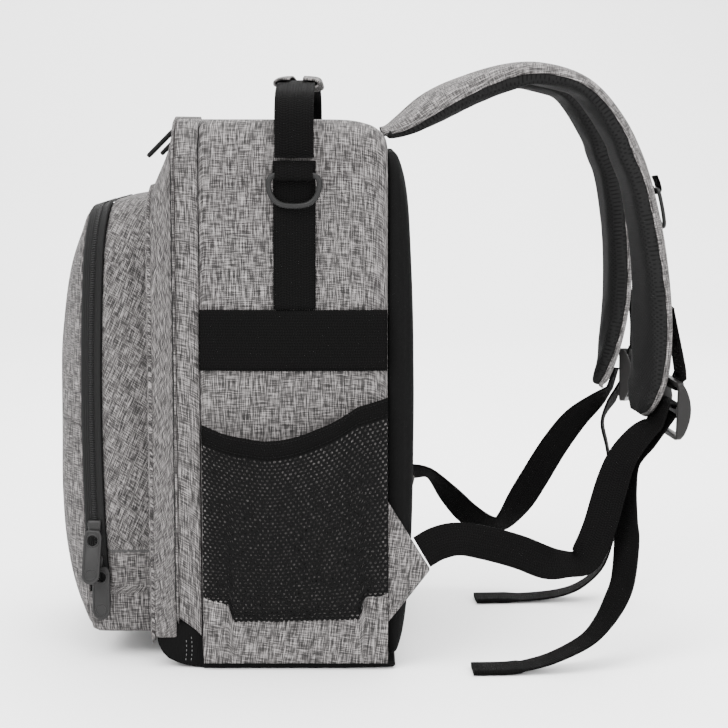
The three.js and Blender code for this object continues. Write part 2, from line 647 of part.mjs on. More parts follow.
// The strap's route from the bag's top back corner: out from it, its rise (+) or drop (-),
// how far it spreads to the side, its twist in degrees and that of the left strap, and its shares
// of full width and thickness.
const STRAP_ROUTE = [
  { out: 0, lift: 0, side: 0, twist: 0, left: 0, width: 0.96, thick: 0.5 },
  { out: 0.085, lift: 0.19, side: 0.05, twist: 8, left: 8, width: 1, thick: 0.8 },
  { out: 0.19, lift: 0.5, side: 0.1, twist: 12, left: 12, width: 1, thick: 1 },
  { out: 0.325, lift: 0.78, side: 0.2, twist: 9.5, left: 9.5, width: 1, thick: 1 },
  { out: 0.455, lift: 0.967, side: 0.3, twist: 6, left: 6, width: 1, thick: 1 },
  { out: 0.57, lift: 1, side: 0.4, twist: 2.5, left: 4, width: 1, thick: 1 },
  { out: 0.708, lift: 0.825, side: 0.5, twist: 0, left: 3, width: 1, thick: 1 },
  { out: 0.8, lift: 0.46, side: 0.6, twist: -2, left: 2, width: 1, thick: 1 },
  { out: 0.872, lift: 0, side: 0.7, twist: -3, left: 2, width: 1, thick: 1 },
  { out: 0.93, lift: -0.148, side: 0.8, twist: -3.5, left: 2, width: 1, thick: 1 },
  { out: 0.976, lift: -0.376, side: 0.9, twist: -7, left: 1, width: 1, thick: 1 },
  { out: 0.998, lift: -0.6, side: 1, twist: -12, left: 0, width: 1, thick: 1 },
  { out: 0.993, lift: -0.76, side: 1, twist: -14.5, left: -4, width: 0.99, thick: 1 },
  { out: 0.978, lift: -0.87, side: 1, twist: -14.5, left: -8, width: 0.93, thick: 0.95 },
  { out: 0.962, lift: -0.94, side: 1, twist: -14.5, left: -11, width: 0.76, thick: 0.85 },
  { out: 0.95, lift: -0.98, side: 1, twist: -14.5, left: -14.5, width: 0.5, thick: 0.75 },
  { out: 0.943, lift: -1, side: 1, twist: -14.5, left: -14.5, width: 0.22, thick: 0.65 },
];

const rootY = lerp(FRONT_SEAM_Y, backSeamY, STRAP_ROOT_DEPTH) + 1.6;
const rootZ = BODY_HEIGHT - STRAP_ROOT_DROP + 1;

function strapStations(side, steps) {
  const swing = side < 0 ? LEFT_STRAP_SWING : 0;
  const rows = smooth(STRAP_ROUTE, steps);
  const centres = rows.map(({ out, lift, side: wide }) => vec(
    side * (STRAP_ROOT_X + wide * STRAP_SPREAD),
    rootY + out * STRAP_REACH - swing * Math.max(0, -lift) ** 1.5,
    rootZ + lift * (lift > 0 ? STRAP_RISE : STRAP_DROP),
  ));
  return rows.map((row, i) => {
    const along = centres[Math.min(i + 1, rows.length - 1)].clone().sub(centres[Math.max(i - 1, 0)]).normalize();
    const flat = vec(side, 0, 0);
    flat.addScaledVector(along, -flat.dot(along)).normalize();
    const outward = along.clone().cross(flat).normalize();
    if (outward.dot(vec(0, 0.5, 1)) < 0) outward.negate();
    const angle = THREE.MathUtils.degToRad(side < 0 ? row.left : row.twist);
    const across = flat.clone().multiplyScalar(Math.cos(angle)).addScaledVector(outward, -Math.sin(angle));
    const face = outward.clone().multiplyScalar(Math.cos(angle)).addScaledVector(flat, Math.sin(angle));
    return { centre: centres[i], along, across, face, width: row.width * STRAP_WIDTH,
      thickness: row.thick * STRAP_THICKNESS };
  });
}

// The strap's section: flat within, crowned without, with round edges.
const STRAP_SECTION = [[-1, -0.2], [-0.9, -0.92], [0, -1], [0.9, -0.92], [1, -0.2], [0.95, 0.5], [0.7, 0.88],
  [0, 1], [-0.7, 0.88], [-0.95, 0.5]];

function strapPoint(station, a, b) {
  return station.centre.clone().addScaledVector(station.across, a * station.width / 2)
    .addScaledVector(station.face, b * station.thickness / 2);
}

function shoulderStrap(side, label) {
  const sections = strapStations(side, 2).map((station) => STRAP_SECTION.map(([a, b]) => strapPoint(station, a, b)));
  add(`shoulder_strap_${label}`, loft(sections), 'mesh_padding');
}

// The small ring hangs in a loop on the strap's outer face, at this share of the route's steps.
const RING_SHARE = 0.578;

function strapRing(side, label) {
  const stations = strapStations(side, 4);
  const station = stations[Math.round(RING_SHARE * (stations.length - 1))];
  const down = station.along;
  const bar = strapPoint(station, 0, 1)
    .addScaledVector(station.face, WEBBING + SMALL_RING_WIRE / 2 + SEAT * 2);
  const path = ringPath(SMALL_RING_WIDTH - SMALL_RING_WIRE, SMALL_RING_DROP - SMALL_RING_WIRE / 2, (a, b) => (
    bar.clone().addScaledVector(station.across, a).addScaledVector(down, -b)));
  add(`strap_ring_${label}`, wireRing(path, station.face, SMALL_RING_WIRE), 'gunmetal');
  const loop = foldedLoop(bar, down.clone().negate(), station.face, station.across, SMALL_WEBBING_WIDTH - 4,
    SMALL_RING_WIRE);
  add(`strap_ring_loop_${label}`, loop, 'webbing');
}

// The ladder-lock buckle hangs off the strap's lower end. Its own frame: across, up and outward.
function ladderFrame(side) {
  const swing = side < 0 ? LEFT_STRAP_SWING * 0.82 : 0;
  const centre = vec(side * (STRAP_ROOT_X + STRAP_SPREAD + 12), rootY + STRAP_REACH * 1.067 - swing,
    rootZ - STRAP_DROP * 0.965);
  const across = vec(0.955 * side, 0.27, -0.12).normalize();
  const up = vec(0, -0.03, 1);
  up.addScaledVector(across, -up.dot(across)).normalize();
  const outward = across.clone().cross(up).normalize();
  if (outward.y < 0) outward.negate();
  return { centre, across, up, outward };
}

const ladderPoint = (frame, a, u, o) => frame.centre.clone().addScaledVector(frame.across, a)
  .addScaledVector(frame.up, u).addScaledVector(frame.outward, o);
const ladderSlot = (LADDER_LENGTH - 3 * LADDER_BAR) / 2;

// Its side rails swell outward between the ends.
function ladderLock(side, label) {
  const frame = ladderFrame(side);
  const w = LADDER_WIDTH / 2;
  const l = LADDER_LENGTH / 2;
  const rim = w - LADDER_RAIL;
  const levels = [-1, -0.5, 0.5, 1].map((share) => share * (l - 3));
  const outer = [[-w + 3, -l], [w - 3, -l], ...levels.map((u) => [w, u]), [w - 3, l], [-w + 3, l],
    ...levels.map((u) => [-w, -u])];
  const shape = new THREE.Shape(outer.map(([x, y]) => new THREE.Vector2(x, y)));
  [-1, 1].forEach((sign) => {
    const low = sign > 0 ? LADDER_BAR / 2 : -LADDER_BAR / 2 - ladderSlot;
    shape.holes.push(new THREE.Path([[-rim, low], [rim, low], [rim, low + ladderSlot], [-rim, low + ladderSlot]]
      .map(([x, y]) => new THREE.Vector2(x, y))));
  });
  const plate = new THREE.ExtrudeGeometry(shape, { depth: LADDER_DEPTH, bevelEnabled: false });
  plate.deleteAttribute('normal');
  plate.deleteAttribute('uv');
  const solid = mergeVertices(plate, 1e-4);
  solid.translate(0, 0, -LADDER_DEPTH / 2);
  const spots = solid.attributes.position;
  const third = frame.across.clone().cross(frame.up);
  const outSign = Math.sign(third.dot(frame.outward));
  for (let i = 0; i < spots.count; i += 1) {
    const onRail = Math.abs(spots.getX(i)) > w - 0.01 && spots.getZ(i) * outSign > 0;
    const swell = LADDER_SWELL * (1 - (spots.getY(i) / (l - 3)) ** 2);
    if (onRail) spots.setZ(i, spots.getZ(i) + outSign * swell);
  }
  const handed = new THREE.Matrix4().makeBasis(frame.across, frame.up, third);
  solid.applyMatrix4(handed.setPosition(frame.centre));
  solid.computeVertexNormals();
  add(`ladder_lock_${label}`, solid, 'grey_plastic');
}

// Webbing turns round a bar at this radius.
const turnRadius = Math.hypot(LADDER_BAR, LADDER_DEPTH) / 2 + WEBBING / 2 + SEAT;

// A short webbing from the strap's outer face, folded round the buckle's upper bar. It is sewn on
// this many half steps before the end of the route.
const TAB_STEPS = 10;

function buckleTab(side, label) {
  const frame = ladderFrame(side);
  const bar = LADDER_BAR + ladderSlot;
  const stations = strapStations(side, 2);
  const from = stations[stations.length - 1 - TAB_STEPS];
  const start = strapPoint(from, 0.2, 1).addScaledVector(from.face, SEAT * 2 + WEBBING / 2);
  const onStrap = [0, 9].map((along) => ({
    centre: start.clone().addScaledVector(from.along, along).addScaledVector(from.face, along * 0.12),
    across: from.across,
  }));
  const over = { centre: ladderPoint(frame, 0, bar + 7, turnRadius * 1.35), across: frame.across };
  const fold = spread(5).map((t) => {
    const angle = Math.PI * (t - 0.6);
    const [up, outward] = [bar - turnRadius * Math.cos(angle), -turnRadius * Math.sin(angle)];
    return { centre: ladderPoint(frame, 0, up, outward), across: frame.across };
  });
  add(`buckle_tab_${label}`, strip([...onStrap, over, ...fold], SMALL_WEBBING_WIDTH, WEBBING), 'webbing');
}

// The wing: a folded tab of cloth sewn to the foot of the side, its point drawn in and up by the webbing.
const WING_POSE = {
  right: { turn: 16, lift: 0 },
  left: { turn: 58, lift: 22 },
};

function wingPoint(side, label, out, share) {
  const turn = THREE.MathUtils.degToRad(WING_POSE[label].turn);
  const x = halfBody - WING_INSET - WING_LENGTH * (1 - Math.cos(turn * out)) / turn;
  const y = backSeamY + SEAT + WING_LENGTH * Math.sin(turn * out) / turn;
  const z = WING_LOW + WING_HEIGHT * lerp(0.42 * out, 1 - 0.56 * out, share) + WING_POSE[label].lift * out * out;
  return vec(side * x, y, z);
}

function wing(side, label) {
  const outs = [0, 0.25, 0.5, 0.75, 1];
  const grid = (push) => outs.map((out) => spread(2).map((v) => (
    wingPoint(side, label, out, v).add(vec(side * push, 0, 0)))));
  add(`wing_${label}`, wall(grid(WING_CLOTH / 2), grid(-WING_CLOTH / 2)), 'grey_cloth');
}

// The lower webbing between wing and buckle. out: share of the way from wing to buckle, up: share of
// the buckle's height, side: share of the sideways way, turn: the angle in degrees of the line from
// its first to its second edge seen from the side, shown: how much of its width is seen there.
const LOWER_ROUTE = {
  right: [
    { out: 0.065, up: 0.494, side: 0.07, turn: -77, shown: 0.97 },
    { out: 0.149, up: 0.506, side: 0.17, turn: -90, shown: 0.9 },
    { out: 0.263, up: 0.482, side: 0.3, turn: -103, shown: 0.97 },
    { out: 0.391, up: 0.441, side: 0.43, turn: -107, shown: 0.98 },
    { out: 0.497, up: 0.397, side: 0.51, turn: -97, shown: 0.94 },
    { out: 0.574, up: 0.388, side: 0.56, turn: -62, shown: 0.72 },
    { out: 0.636, up: 0.392, side: 0.58, turn: -25, shown: 0.78 },
    { out: 0.673, up: 0.439, side: 0.61, turn: -12, shown: 0.96 },
    { out: 0.714, up: 0.539, side: 0.63, turn: -16, shown: 0.98 },
    { out: 0.76, up: 0.708, side: 0.64, turn: -18, shown: 0.9 },
    { out: 0.803, up: 0.814, side: 0.69, turn: -24, shown: 0.74 },
    { out: 0.875, up: 0.898, side: 0.82, turn: -28, shown: 0.58 },
    { out: 0.933, up: 0.94, side: 0.91, turn: -26, shown: 0.34 },
  ],
  left: [
    { out: 0.092, up: 0.527, side: 0.1, turn: -115, shown: 0.45 },
    { out: 0.188, up: 0.431, side: 0.2, turn: -132, shown: 0.75 },
    { out: 0.277, up: 0.346, side: 0.3, turn: -130, shown: 0.85 },
    { out: 0.367, up: 0.302, side: 0.37, turn: -100, shown: 0.75 },
    { out: 0.428, up: 0.302, side: 0.4, turn: -60, shown: 0.68 },
    { out: 0.47, up: 0.337, side: 0.45, turn: -32, shown: 0.8 },
    { out: 0.522, up: 0.413, side: 0.53, turn: -24, shown: 0.97 },
    { out: 0.588, up: 0.522, side: 0.62, turn: -24, shown: 0.99 },
    { out: 0.678, up: 0.671, side: 0.73, turn: -30, shown: 0.97 },
    { out: 0.773, up: 0.796, side: 0.83, turn: -34, shown: 0.9 },
    { out: 0.869, up: 0.882, side: 0.93, turn: -36, shown: 0.68 },
    { out: 0.931, up: 0.94, side: 0.97, turn: -26, shown: 0.34 },
  ],
};

// Its free tail. back: share of the way back to the sewn tip, up: share of the buckle's height,
// wide: share of the way out to the tip's side, turn and shown as above.
const TAIL_ROUTE = {
  right: [
    { back: 0.123, up: 0.867, wide: 0, turn: -28, shown: 0.48 },
    { back: 0.204, up: 0.786, wide: -0.02, turn: -15, shown: 0.55 },
    { back: 0.225, up: 0.678, wide: 0.02, turn: -5, shown: 0.6 },
    { back: 0.223, up: 0.545, wide: 0.12, turn: 0, shown: 0.62 },
    { back: 0.2195, up: 0.469, wide: 0.22, turn: 4, shown: 0.63 },
    { back: 0.243, up: 0.337, wide: 0.43, turn: 8, shown: 0.6 },
    { back: 0.285, up: 0.255, wide: 0.57, turn: -15, shown: 0.5 },
    { back: 0.353, up: 0.172, wide: 0.69, turn: -35, shown: 0.3 },
    { back: 0.438, up: 0.11, wide: 0.8, turn: -50, shown: 0.15 },
    { back: 0.586, up: 0.055, wide: 0.9, turn: -70, shown: 0.06 },
    { back: 0.707, up: 0.028, wide: 0.95, turn: -80, shown: 0.02 },
    { back: 0.825, up: 0.0145, wide: 0.98, turn: -90, shown: 0 },
    { back: 1, up: 0.0128, wide: 1, turn: -90, shown: 0 },
  ],
  left: [
    { back: 0.086, up: 0.882, wide: 0, turn: -28, shown: 0.4 },
    { back: 0.145, up: 0.791, wide: 0, turn: -10, shown: 0.2 },
    { back: 0.11, up: 0.67, wide: 0.05, turn: 10, shown: 0.15 },
    { back: 0.067, up: 0.482, wide: 0.18, turn: 10, shown: 0.2 },
    { back: 0.059, up: 0.304, wide: 0.32, turn: 0, shown: 0.2 },
    { back: 0.12, up: 0.17, wide: 0.45, turn: -40, shown: 0.15 },
    { back: 0.23, up: 0.09, wide: 0.59, turn: -60, shown: 0.08 },
    { back: 0.385, up: 0.037, wide: 0.73, turn: -75, shown: 0.03 },
    { back: 0.636, up: 0.0145, wide: 0.86, turn: -90, shown: 0 },
    { back: 1, up: 0.0128, wide: 1, turn: -90, shown: 0 },
  ],
};
const TAIL_RUN = { right: 149, left: 125 };
const TAIL_TIP_X = { right: 141, left: 70 };
const SEWN_END = 34;

function turned(side, turn, shown) {
  const angle = THREE.MathUtils.degToRad(turn);
  const seen = THREE.MathUtils.clamp(shown, 0, 1);
  return vec(side * Math.sqrt(1 - seen * seen), seen * Math.cos(angle), seen * Math.sin(angle));
}

function lowerWebbing(side, label) {
  const frame = ladderFrame(side);
  const edge = wingPoint(side, label, 0.95, 1).sub(wingPoint(side, label, 0.6, 1)).normalize();
  const start = wingPoint(side, label, 0.77, 1).add(vec(0, -edge.z, edge.y).multiplyScalar(SEAT * 3.6));
  const buckle = frame.centre;
  const route = LOWER_ROUTE[label].map(({ out, up, side: wide, turn, shown }) => ({
    x: lerp(start.x, buckle.x, wide),
    y: lerp(start.y, buckle.y, out),
    z: up * buckle.z,
    turn,
    shown,
  }));
  const sewn = { x: start.x, y: start.y, z: start.z,
    turn: THREE.MathUtils.radToDeg(Math.atan2(edge.z, edge.y)), shown: Math.hypot(edge.z, edge.y) };
  const rise = smooth([sewn, ...route], 3).map((row) => ({
    centre: vec(row.x, row.y, row.z), across: turned(side, row.turn, row.shown) }));
  const entry = { centre: ladderPoint(frame, 0, turnRadius * 1.15, -turnRadius * 1.6), across: frame.across };
  const turn = spread(6).map((t) => {
    const angle = Math.PI * (0.6 - t * 1.2);
    return { centre: ladderPoint(frame, 0, turnRadius * Math.sin(angle), turnRadius * Math.cos(angle)),
      across: frame.across };
  });
  const fall = smooth(TAIL_ROUTE[label], 3).map(({ back, up, wide, turn, shown }) => {
    const centre = vec(lerp(buckle.x, side * TAIL_TIP_X[label], wide), buckle.y - back * TAIL_RUN[label],
      Math.max(up * buckle.z, WEBBING + FLOOR_GAP));
    return { centre, across: turned(side, turn, shown) };
  });
  const tip = fall[fall.length - 1].centre;
  fall.forEach((station) => {
    if (station.centre.distanceTo(tip) < SEWN_END) station.thickness = WEBBING * 2;
  });
  add(`lower_webbing_${label}`, strip([...rise, entry, ...turn, ...fall], LOWER_WEBBING_WIDTH, WEBBING), 'webbing');
}

// A zip slider: a wedge with a low bridge on it. Its frame: along the zip, across it, off it.
function slider(name, at, along, across, off) {
  const section = (l, w, h) => [[-w, 0], [w, 0], [w, h], [-w, h]].map(([a, b]) => at.clone()
    .addScaledVector(along, l).addScaledVector(across, a).addScaledVector(off, b));
  const half = SLIDER_LENGTH / 2;
  const rows = [
    [-half, SLIDER_WIDTH * 0.3, SLIDER_HEIGHT * 0.5],
    [-half * 0.5, SLIDER_WIDTH * 0.42, SLIDER_HEIGHT * 0.9],
    [half * 0.4, SLIDER_WIDTH * 0.5, SLIDER_HEIGHT],
    [half, SLIDER_WIDTH * 0.46, SLIDER_HEIGHT * 0.6],
  ];
  add(name, loft(rows.map(([l, w, h]) => section(l, w, h))), 'gunmetal');
}

// A flat pull with a round hole near its upper end and a round lower end.
function pull(name, hinge, down, across, off, length, width, look, hole) {
  const shape = new THREE.Shape();
  const w = width / 2;
  shape.moveTo(-w * 0.7, 0);
  shape.lineTo(w * 0.7, 0);
  shape.lineTo(w, -length * 0.12);
  shape.lineTo(w, -length + w * 1.1);
  shape.absellipse(0, -length + w * 1.1, w, w * 1.1, 0, -Math.PI, true);
  shape.lineTo(-w, -length * 0.12);
  if (hole > 0) {
    const cut = new THREE.Path();
    cut.absarc(0, -hole * 1.9, hole, 0, 2 * Math.PI);
    shape.holes.push(cut);
  }
  const plate = new THREE.ExtrudeGeometry(shape, { depth: PULL_THICKNESS, bevelEnabled: false, curveSegments: 6 });
  plate.deleteAttribute('normal');
  plate.deleteAttribute('uv');
  const solid = mergeVertices(plate, 1e-4);
  const up = down.clone().negate();
  const frame = new THREE.Matrix4().makeBasis(across, up, across.clone().cross(up));
  const sign = across.clone().cross(up).dot(off) > 0 ? 0 : -PULL_THICKNESS;
  solid.translate(0, 0, sign);
  solid.applyMatrix4(frame.setPosition(hinge));
  solid.computeVertexNormals();
  add(name, solid, look);
}

// The upper pull lies over the lower slider, which holds it off by the named lean.
function pocketPulls() {
  const up = vec(0, 0, 1);
  const half = POCKET_WIDTH / 2 - ZIP_TAPE_INSET;
  const across = vec(half * ZIP_TAPE_SLANT, ZIP_TAPE_WIDTH - 2 * SEAT, 0).normalize();
  const off = across.clone().cross(up);
  const levels = [{ label: 'lower', step: 1, leans: 0, shift: 4 }, { label: 'upper', step: 0, leans: 1, shift: 0 }];
  const lean = THREE.MathUtils.degToRad(UPPER_PULL_LEAN);
  levels.forEach(({ label, step, leans, shift }) => {
    const z = UPPER_SLIDER_Z - step * SLIDER_STEP;
    const seat = tapePoint(half, z, 0.5).addScaledVector(off, SEAT);
    slider(`pocket_slider_${label}`, seat, up, across, off);
    const hinge = seat.clone().addScaledVector(off, SLIDER_HEIGHT + SEAT).addScaledVector(across, shift)
      .addScaledVector(up, -SLIDER_LENGTH * 0.1);
    const down = up.clone().multiplyScalar(-Math.cos(leans * lean))
      .addScaledVector(off, Math.sin(leans * lean));
    pull(`pocket_pull_${label}`, hinge, down, across, off, PULL_LENGTH, PULL_WIDTH, 'gunmetal', PULL_HOLE);
  });
}

// The organiser's two pulls stand off its sloping top, half way between level and upright.
function organiserPulls() {
  const slope = vec(0, -ORGANISER_DEPTH, -ORGANISER_SLOPE).normalize();
  const off = vec(0, slope.z, -slope.y).normalize();
  if (off.z < 0) off.negate();
  [[1, 'right'], [-1, 'left']].forEach(([side, label]) => {
    const at = vec(side * halfBody * 0.36, organiserBackY - 1, ORGANISER_TOP + 1.2)
      .addScaledVector(off, SEAT);
    slider(`organiser_slider_${label}`, at, vec(side, 0, 0), slope, off);
    const hinge = at.clone().addScaledVector(off, SLIDER_HEIGHT + SEAT);
    const down = vec(0, -1, -1).normalize();
    const away = vec(0, -1, 1).normalize();
    pull(`organiser_pull_${label}`, hinge, down, vec(1, 0, 0), away, TOP_PULL_LENGTH, TOP_PULL_WIDTH, 'zip', 0);
  });
}

mainShell();
basePanel();
backPanel();
lidPanel();
organiserZip();
organiserSection();
pocketGusset();
pocketZipTape();
pocketFace();
frontPatch();
pocketPulls();
organiserPulls();
handle();
[[1, 'right'], [-1, 'left']].forEach(([side, label]) => {
  sidePieces(side, label);
  sideRing(side, label);
  shoulderStrap(side, label);
  strapRing(side, label);
  ladderLock(side, label);
  buckleTab(side, label);
  wing(side, label);
  lowerWebbing(side, label);
});

export default bag;
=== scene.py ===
"""The looks of the camera backpack. Lengths in the tables are in millimetres; add_mesh makes metres of them.
+X is the wearer's right, -Y the front pocket, +Y the shoulder straps, +Z up."""

from math import cos, pi, radians, sin

import bpy
import numpy as np
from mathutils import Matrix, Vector
from mathutils.bvhtree import BVHTree


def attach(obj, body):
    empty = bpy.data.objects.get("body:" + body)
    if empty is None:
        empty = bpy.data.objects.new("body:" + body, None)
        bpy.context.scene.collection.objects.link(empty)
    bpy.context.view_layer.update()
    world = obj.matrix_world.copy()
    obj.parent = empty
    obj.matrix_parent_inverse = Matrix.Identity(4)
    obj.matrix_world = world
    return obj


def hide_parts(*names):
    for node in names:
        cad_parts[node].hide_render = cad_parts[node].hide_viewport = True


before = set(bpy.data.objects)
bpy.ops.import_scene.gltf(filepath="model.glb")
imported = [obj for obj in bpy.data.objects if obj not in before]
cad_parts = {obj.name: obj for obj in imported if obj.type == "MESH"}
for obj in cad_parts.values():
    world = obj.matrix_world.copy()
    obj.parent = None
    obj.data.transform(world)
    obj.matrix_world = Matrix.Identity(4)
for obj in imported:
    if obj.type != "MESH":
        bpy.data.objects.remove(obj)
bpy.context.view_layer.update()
scene = bpy.context.scene
MM = 0.001

# Sizes shared with the part
BODY_WIDTH = 270.0
BODY_HEIGHT = 400.0
SIDE_DEPTH = 135.0
FRONT_SEAM_Y = -61.0
CORNER_RADIUS = 26.0
SIDE_CROWN = 2.5
CLOTH = 2.6
SEAT = 0.35
LID_DEPTH = 17.5
LID_STEP = 3.0
ZIP_LINE = 1.6
ORGANISER_DEPTH = 17.5
ORGANISER_INSET = 1.5
ORGANISER_BOTTOM = 22.0
ORGANISER_SLOPE = 38.0
ORGANISER_TOP = BODY_HEIGHT - 12
POCKET_WIDTH = 212.0
POCKET_TOP = 345.0
POCKET_BOTTOM = 18.0
POCKET_CORNER = 46.0
POCKET_TAPER = 5.0
GUSSET_DEPTH = 32.0
GUSSET_BOW = 6.0
TAPE_WIDTH = 16.0
TAPE_END = 52.0
TAPE_SLANT = 0.022
FACE_CROWN = 25.5
BASE_THICKNESS = 5.0
BASE_CHEEK = 34.0
BACK_PADDING = 19.0
BACK_CROWN = 4.0
BACK_INSET = 6.0
BAND_LOW = 221.0
BAND_HEIGHT = 44.0
WEBBING_WIDTH = 29.0
WEBBING_Y = 7.5
WEBBING = 1.8
RING_WIDTH = 41.0
RING_DROP = 24.0
RING_WIRE = 4.0
RING_BAR_Z = 361.0
FOOT_TOP = 54.0
FOOT_STEP = 13.0
NET_TOP = 188.0
NET_DIP = 16.0
NET_STAND = 14.0
HEM_WIDTH = 14.0
HANDLE_RISE = 29.0
HANDLE_LENGTH = 206.0
HANDLE_SAG = 3.0
WRAP_LENGTH = 168.0
WRAP_WIDTH = 34.0
STRAP_WIDTH = 61.0
STRAP_THICKNESS = 17.0
STRAP_ROOT_X = 64.0
STRAP_SPREAD = 16.0
STRAP_REACH = 198.5
STRAP_RISE = 46.0
STRAP_DROP = 206.0
LEFT_STRAP_SWING = 12.0
LOWER_WEBBING_WIDTH = 25.0
HANDLE_WEBBING_WIDTH = 28.0
SMALL_WEBBING_WIDTH = 20.0
LADDER_WIDTH = 35.0
LADDER_LENGTH = 44.0
LADDER_BAR = 4.0
LADDER_DEPTH = 5.0
LADDER_RAIL = 3.2
LADDER_SWELL = 6.0
WING_LENGTH = 31.0
WING_LOW = 35.0
WING_HEIGHT = 90.0
WING_INSET = 1.8
UPPER_SLIDER_Z = 99.0
SLIDER_STEP = 27.0
UPPER_PULL_LEAN = 16.0
SLIDER_HEIGHT = 4.0
POCKET_PULL = (40.0, 13.5)  # length, width
ORGANISER_PULL = (28.0, 9.0)

HALF = BODY_WIDTH / 2
BACK_SEAM_Y = FRONT_SEAM_Y + SIDE_DEPTH
LID_FRONT_Y = FRONT_SEAM_Y - LID_DEPTH
ORGANISER_BACK_Y = LID_FRONT_Y - ZIP_LINE
ORGANISER_FRONT_Y = ORGANISER_BACK_Y - ORGANISER_DEPTH
POCKET_BACK_Y = ORGANISER_FRONT_Y - SEAT
BAG_MIDDLE = (0.0, 0.0, 200.0)
X_WAY = np.array([1.0, 0.0, 0.0])
Y_WAY = np.array([0.0, 1.0, 0.0])
Z_WAY = np.array([0.0, 0.0, 1.0])


# The camera of the photo

CAMERA_PLACE = (1.515, 0.057, 0.400)  # metres
CAMERA_DIP = 7.2  # degrees below level
CAMERA_LENS = 95.8


def place_camera():
    """Level with the top of the bag, a metre and a half to its right, looking a little down."""
    data = bpy.data.cameras.new("photo_camera")
    data.lens = CAMERA_LENS
    data.sensor_width = 36
    data.clip_end = 30
    holder = bpy.data.objects.new("photo_camera", data)
    holder.location = CAMERA_PLACE
    holder.rotation_euler = (radians(90 - CAMERA_DIP), 0, radians(90))
    scene.collection.objects.link(holder)
    scene.camera = holder


place_camera()


# Materials

class Value:
    """A shader socket that adds, multiplies and compares like a number."""

    def __init__(self, tree, socket):
        self.tree = tree
        self.socket = socket

    def math(self, operation, *others):
        node = self.tree.nodes.new("ShaderNodeMath")
        node.operation = operation
        for place, value in zip(node.inputs, (self, *others)):
            join(self.tree, value, place)
        return Value(self.tree, node.outputs[0])

    def _turned(self, operation, other):
        node = self.tree.nodes.new("ShaderNodeMath")
        node.operation = operation
        join(self.tree, other, node.inputs[0])
        join(self.tree, self, node.inputs[1])
        return Value(self.tree, node.outputs[0])

    def __add__(self, other):
        return self.math("ADD", other)

    def __sub__(self, other):
        return self.math("SUBTRACT", other)

    def __mul__(self, other):
        return self.math("MULTIPLY", other)

    def __truediv__(self, other):
        return self.math("DIVIDE", other)

    def __pow__(self, other):
        return self.math("POWER", other)

    def __radd__(self, other):
        return self._turned("ADD", other)

    def __rsub__(self, other):
        return self._turned("SUBTRACT", other)

    def __rmul__(self, other):
        return self._turned("MULTIPLY", other)

    def __neg__(self):
        return self.math("MULTIPLY", -1.0)

    def sin(self):
        return self.math("SINE")

    def size(self):
        return self.math("ABSOLUTE")

    def held(self):
        """Held between 0 and 1."""
        return self.math("MAXIMUM", 0.0).math("MINIMUM", 1.0)

    def step(self, low, high):
        """0 below low, 1 above high, and a straight way between."""
        return ((self - low) / (high - low)).held()


def join(tree, value, place):
    if isinstance(value, Value):
        tree.links.new(value.socket, place)
    else:
        place.default_value = value


class Paint:
    """One material: its coordinates, its nodes and, last, what goes into its surface."""

    def __init__(self, name):
        self.material = bpy.data.materials.new(name)
        self.material.use_nodes = True
        self.tree = self.material.node_tree
        self.surface = self.tree.nodes["Principled BSDF"]
        where = self.node("ShaderNodeTexCoord", {}, {}, "UV")
        split = self.tree.nodes.new("ShaderNodeSeparateXYZ")
        join(self.tree, where, split.inputs[0])
        self.along = Value(self.tree, split.outputs[0]) * 1000.0
        self.across = Value(self.tree, split.outputs[1]) * 1000.0
        spot = self.node("ShaderNodeTexCoord", {}, {}, "Object")
        cut = self.tree.nodes.new("ShaderNodeSeparateXYZ")
        join(self.tree, spot, cut.inputs[0])
        self.x, self.y, self.z = (Value(self.tree, out) * 1000.0 for out in cut.outputs)

    def node(self, kind, settings, sockets, output=0):
        made = self.tree.nodes.new(kind)
        for name, value in settings.items():
            setattr(made, name, value)
        for name, value in sockets.items():
            join(self.tree, value, made.inputs[name])
        return Value(self.tree, made.outputs[output])

    def vector(self, a, b, c=0.0):
        return self.node("ShaderNodeCombineXYZ", {}, {0: a, 1: b, 2: c})

    def noise(self, a, b, c=0.0, detail=2.0):
        """Uneven values about 0.5 over three coordinates."""
        sockets = {"Vector": self.vector(a, b, c), "Scale": 1.0, "Detail": detail, "Roughness": 0.6}
        return self.node("ShaderNodeTexNoise", {}, sockets)

    def mix(self, share, first, second):
        settings = {"data_type": "RGBA", "clamp_factor": True}
        return self.node("ShaderNodeMix", settings, {0: share, 6: first, 7: second}, 2)

    def finish(self, color, roughness, height=None, depth=0.0005, **plain):
        join(self.tree, color, self.surface.inputs["Base Color"])
        join(self.tree, roughness, self.surface.inputs["Roughness"])
        if height is not None:
            bump = {"Height": height, "Distance": depth, "Strength": 1.0}
            join(self.tree, self.node("ShaderNodeBump", {}, bump), self.surface.inputs["Normal"])
        for name, value in plain.items():
            self.surface.inputs[name.replace("_", " ")].default_value = value
        return self.material


def grey(level, warm=0.0):
    """A colour near grey, a little redder where warm is above 0."""
    return (level * (1 + warm), level * (1 + warm * 0.1), level * (1 - warm * 0.1), 1.0)


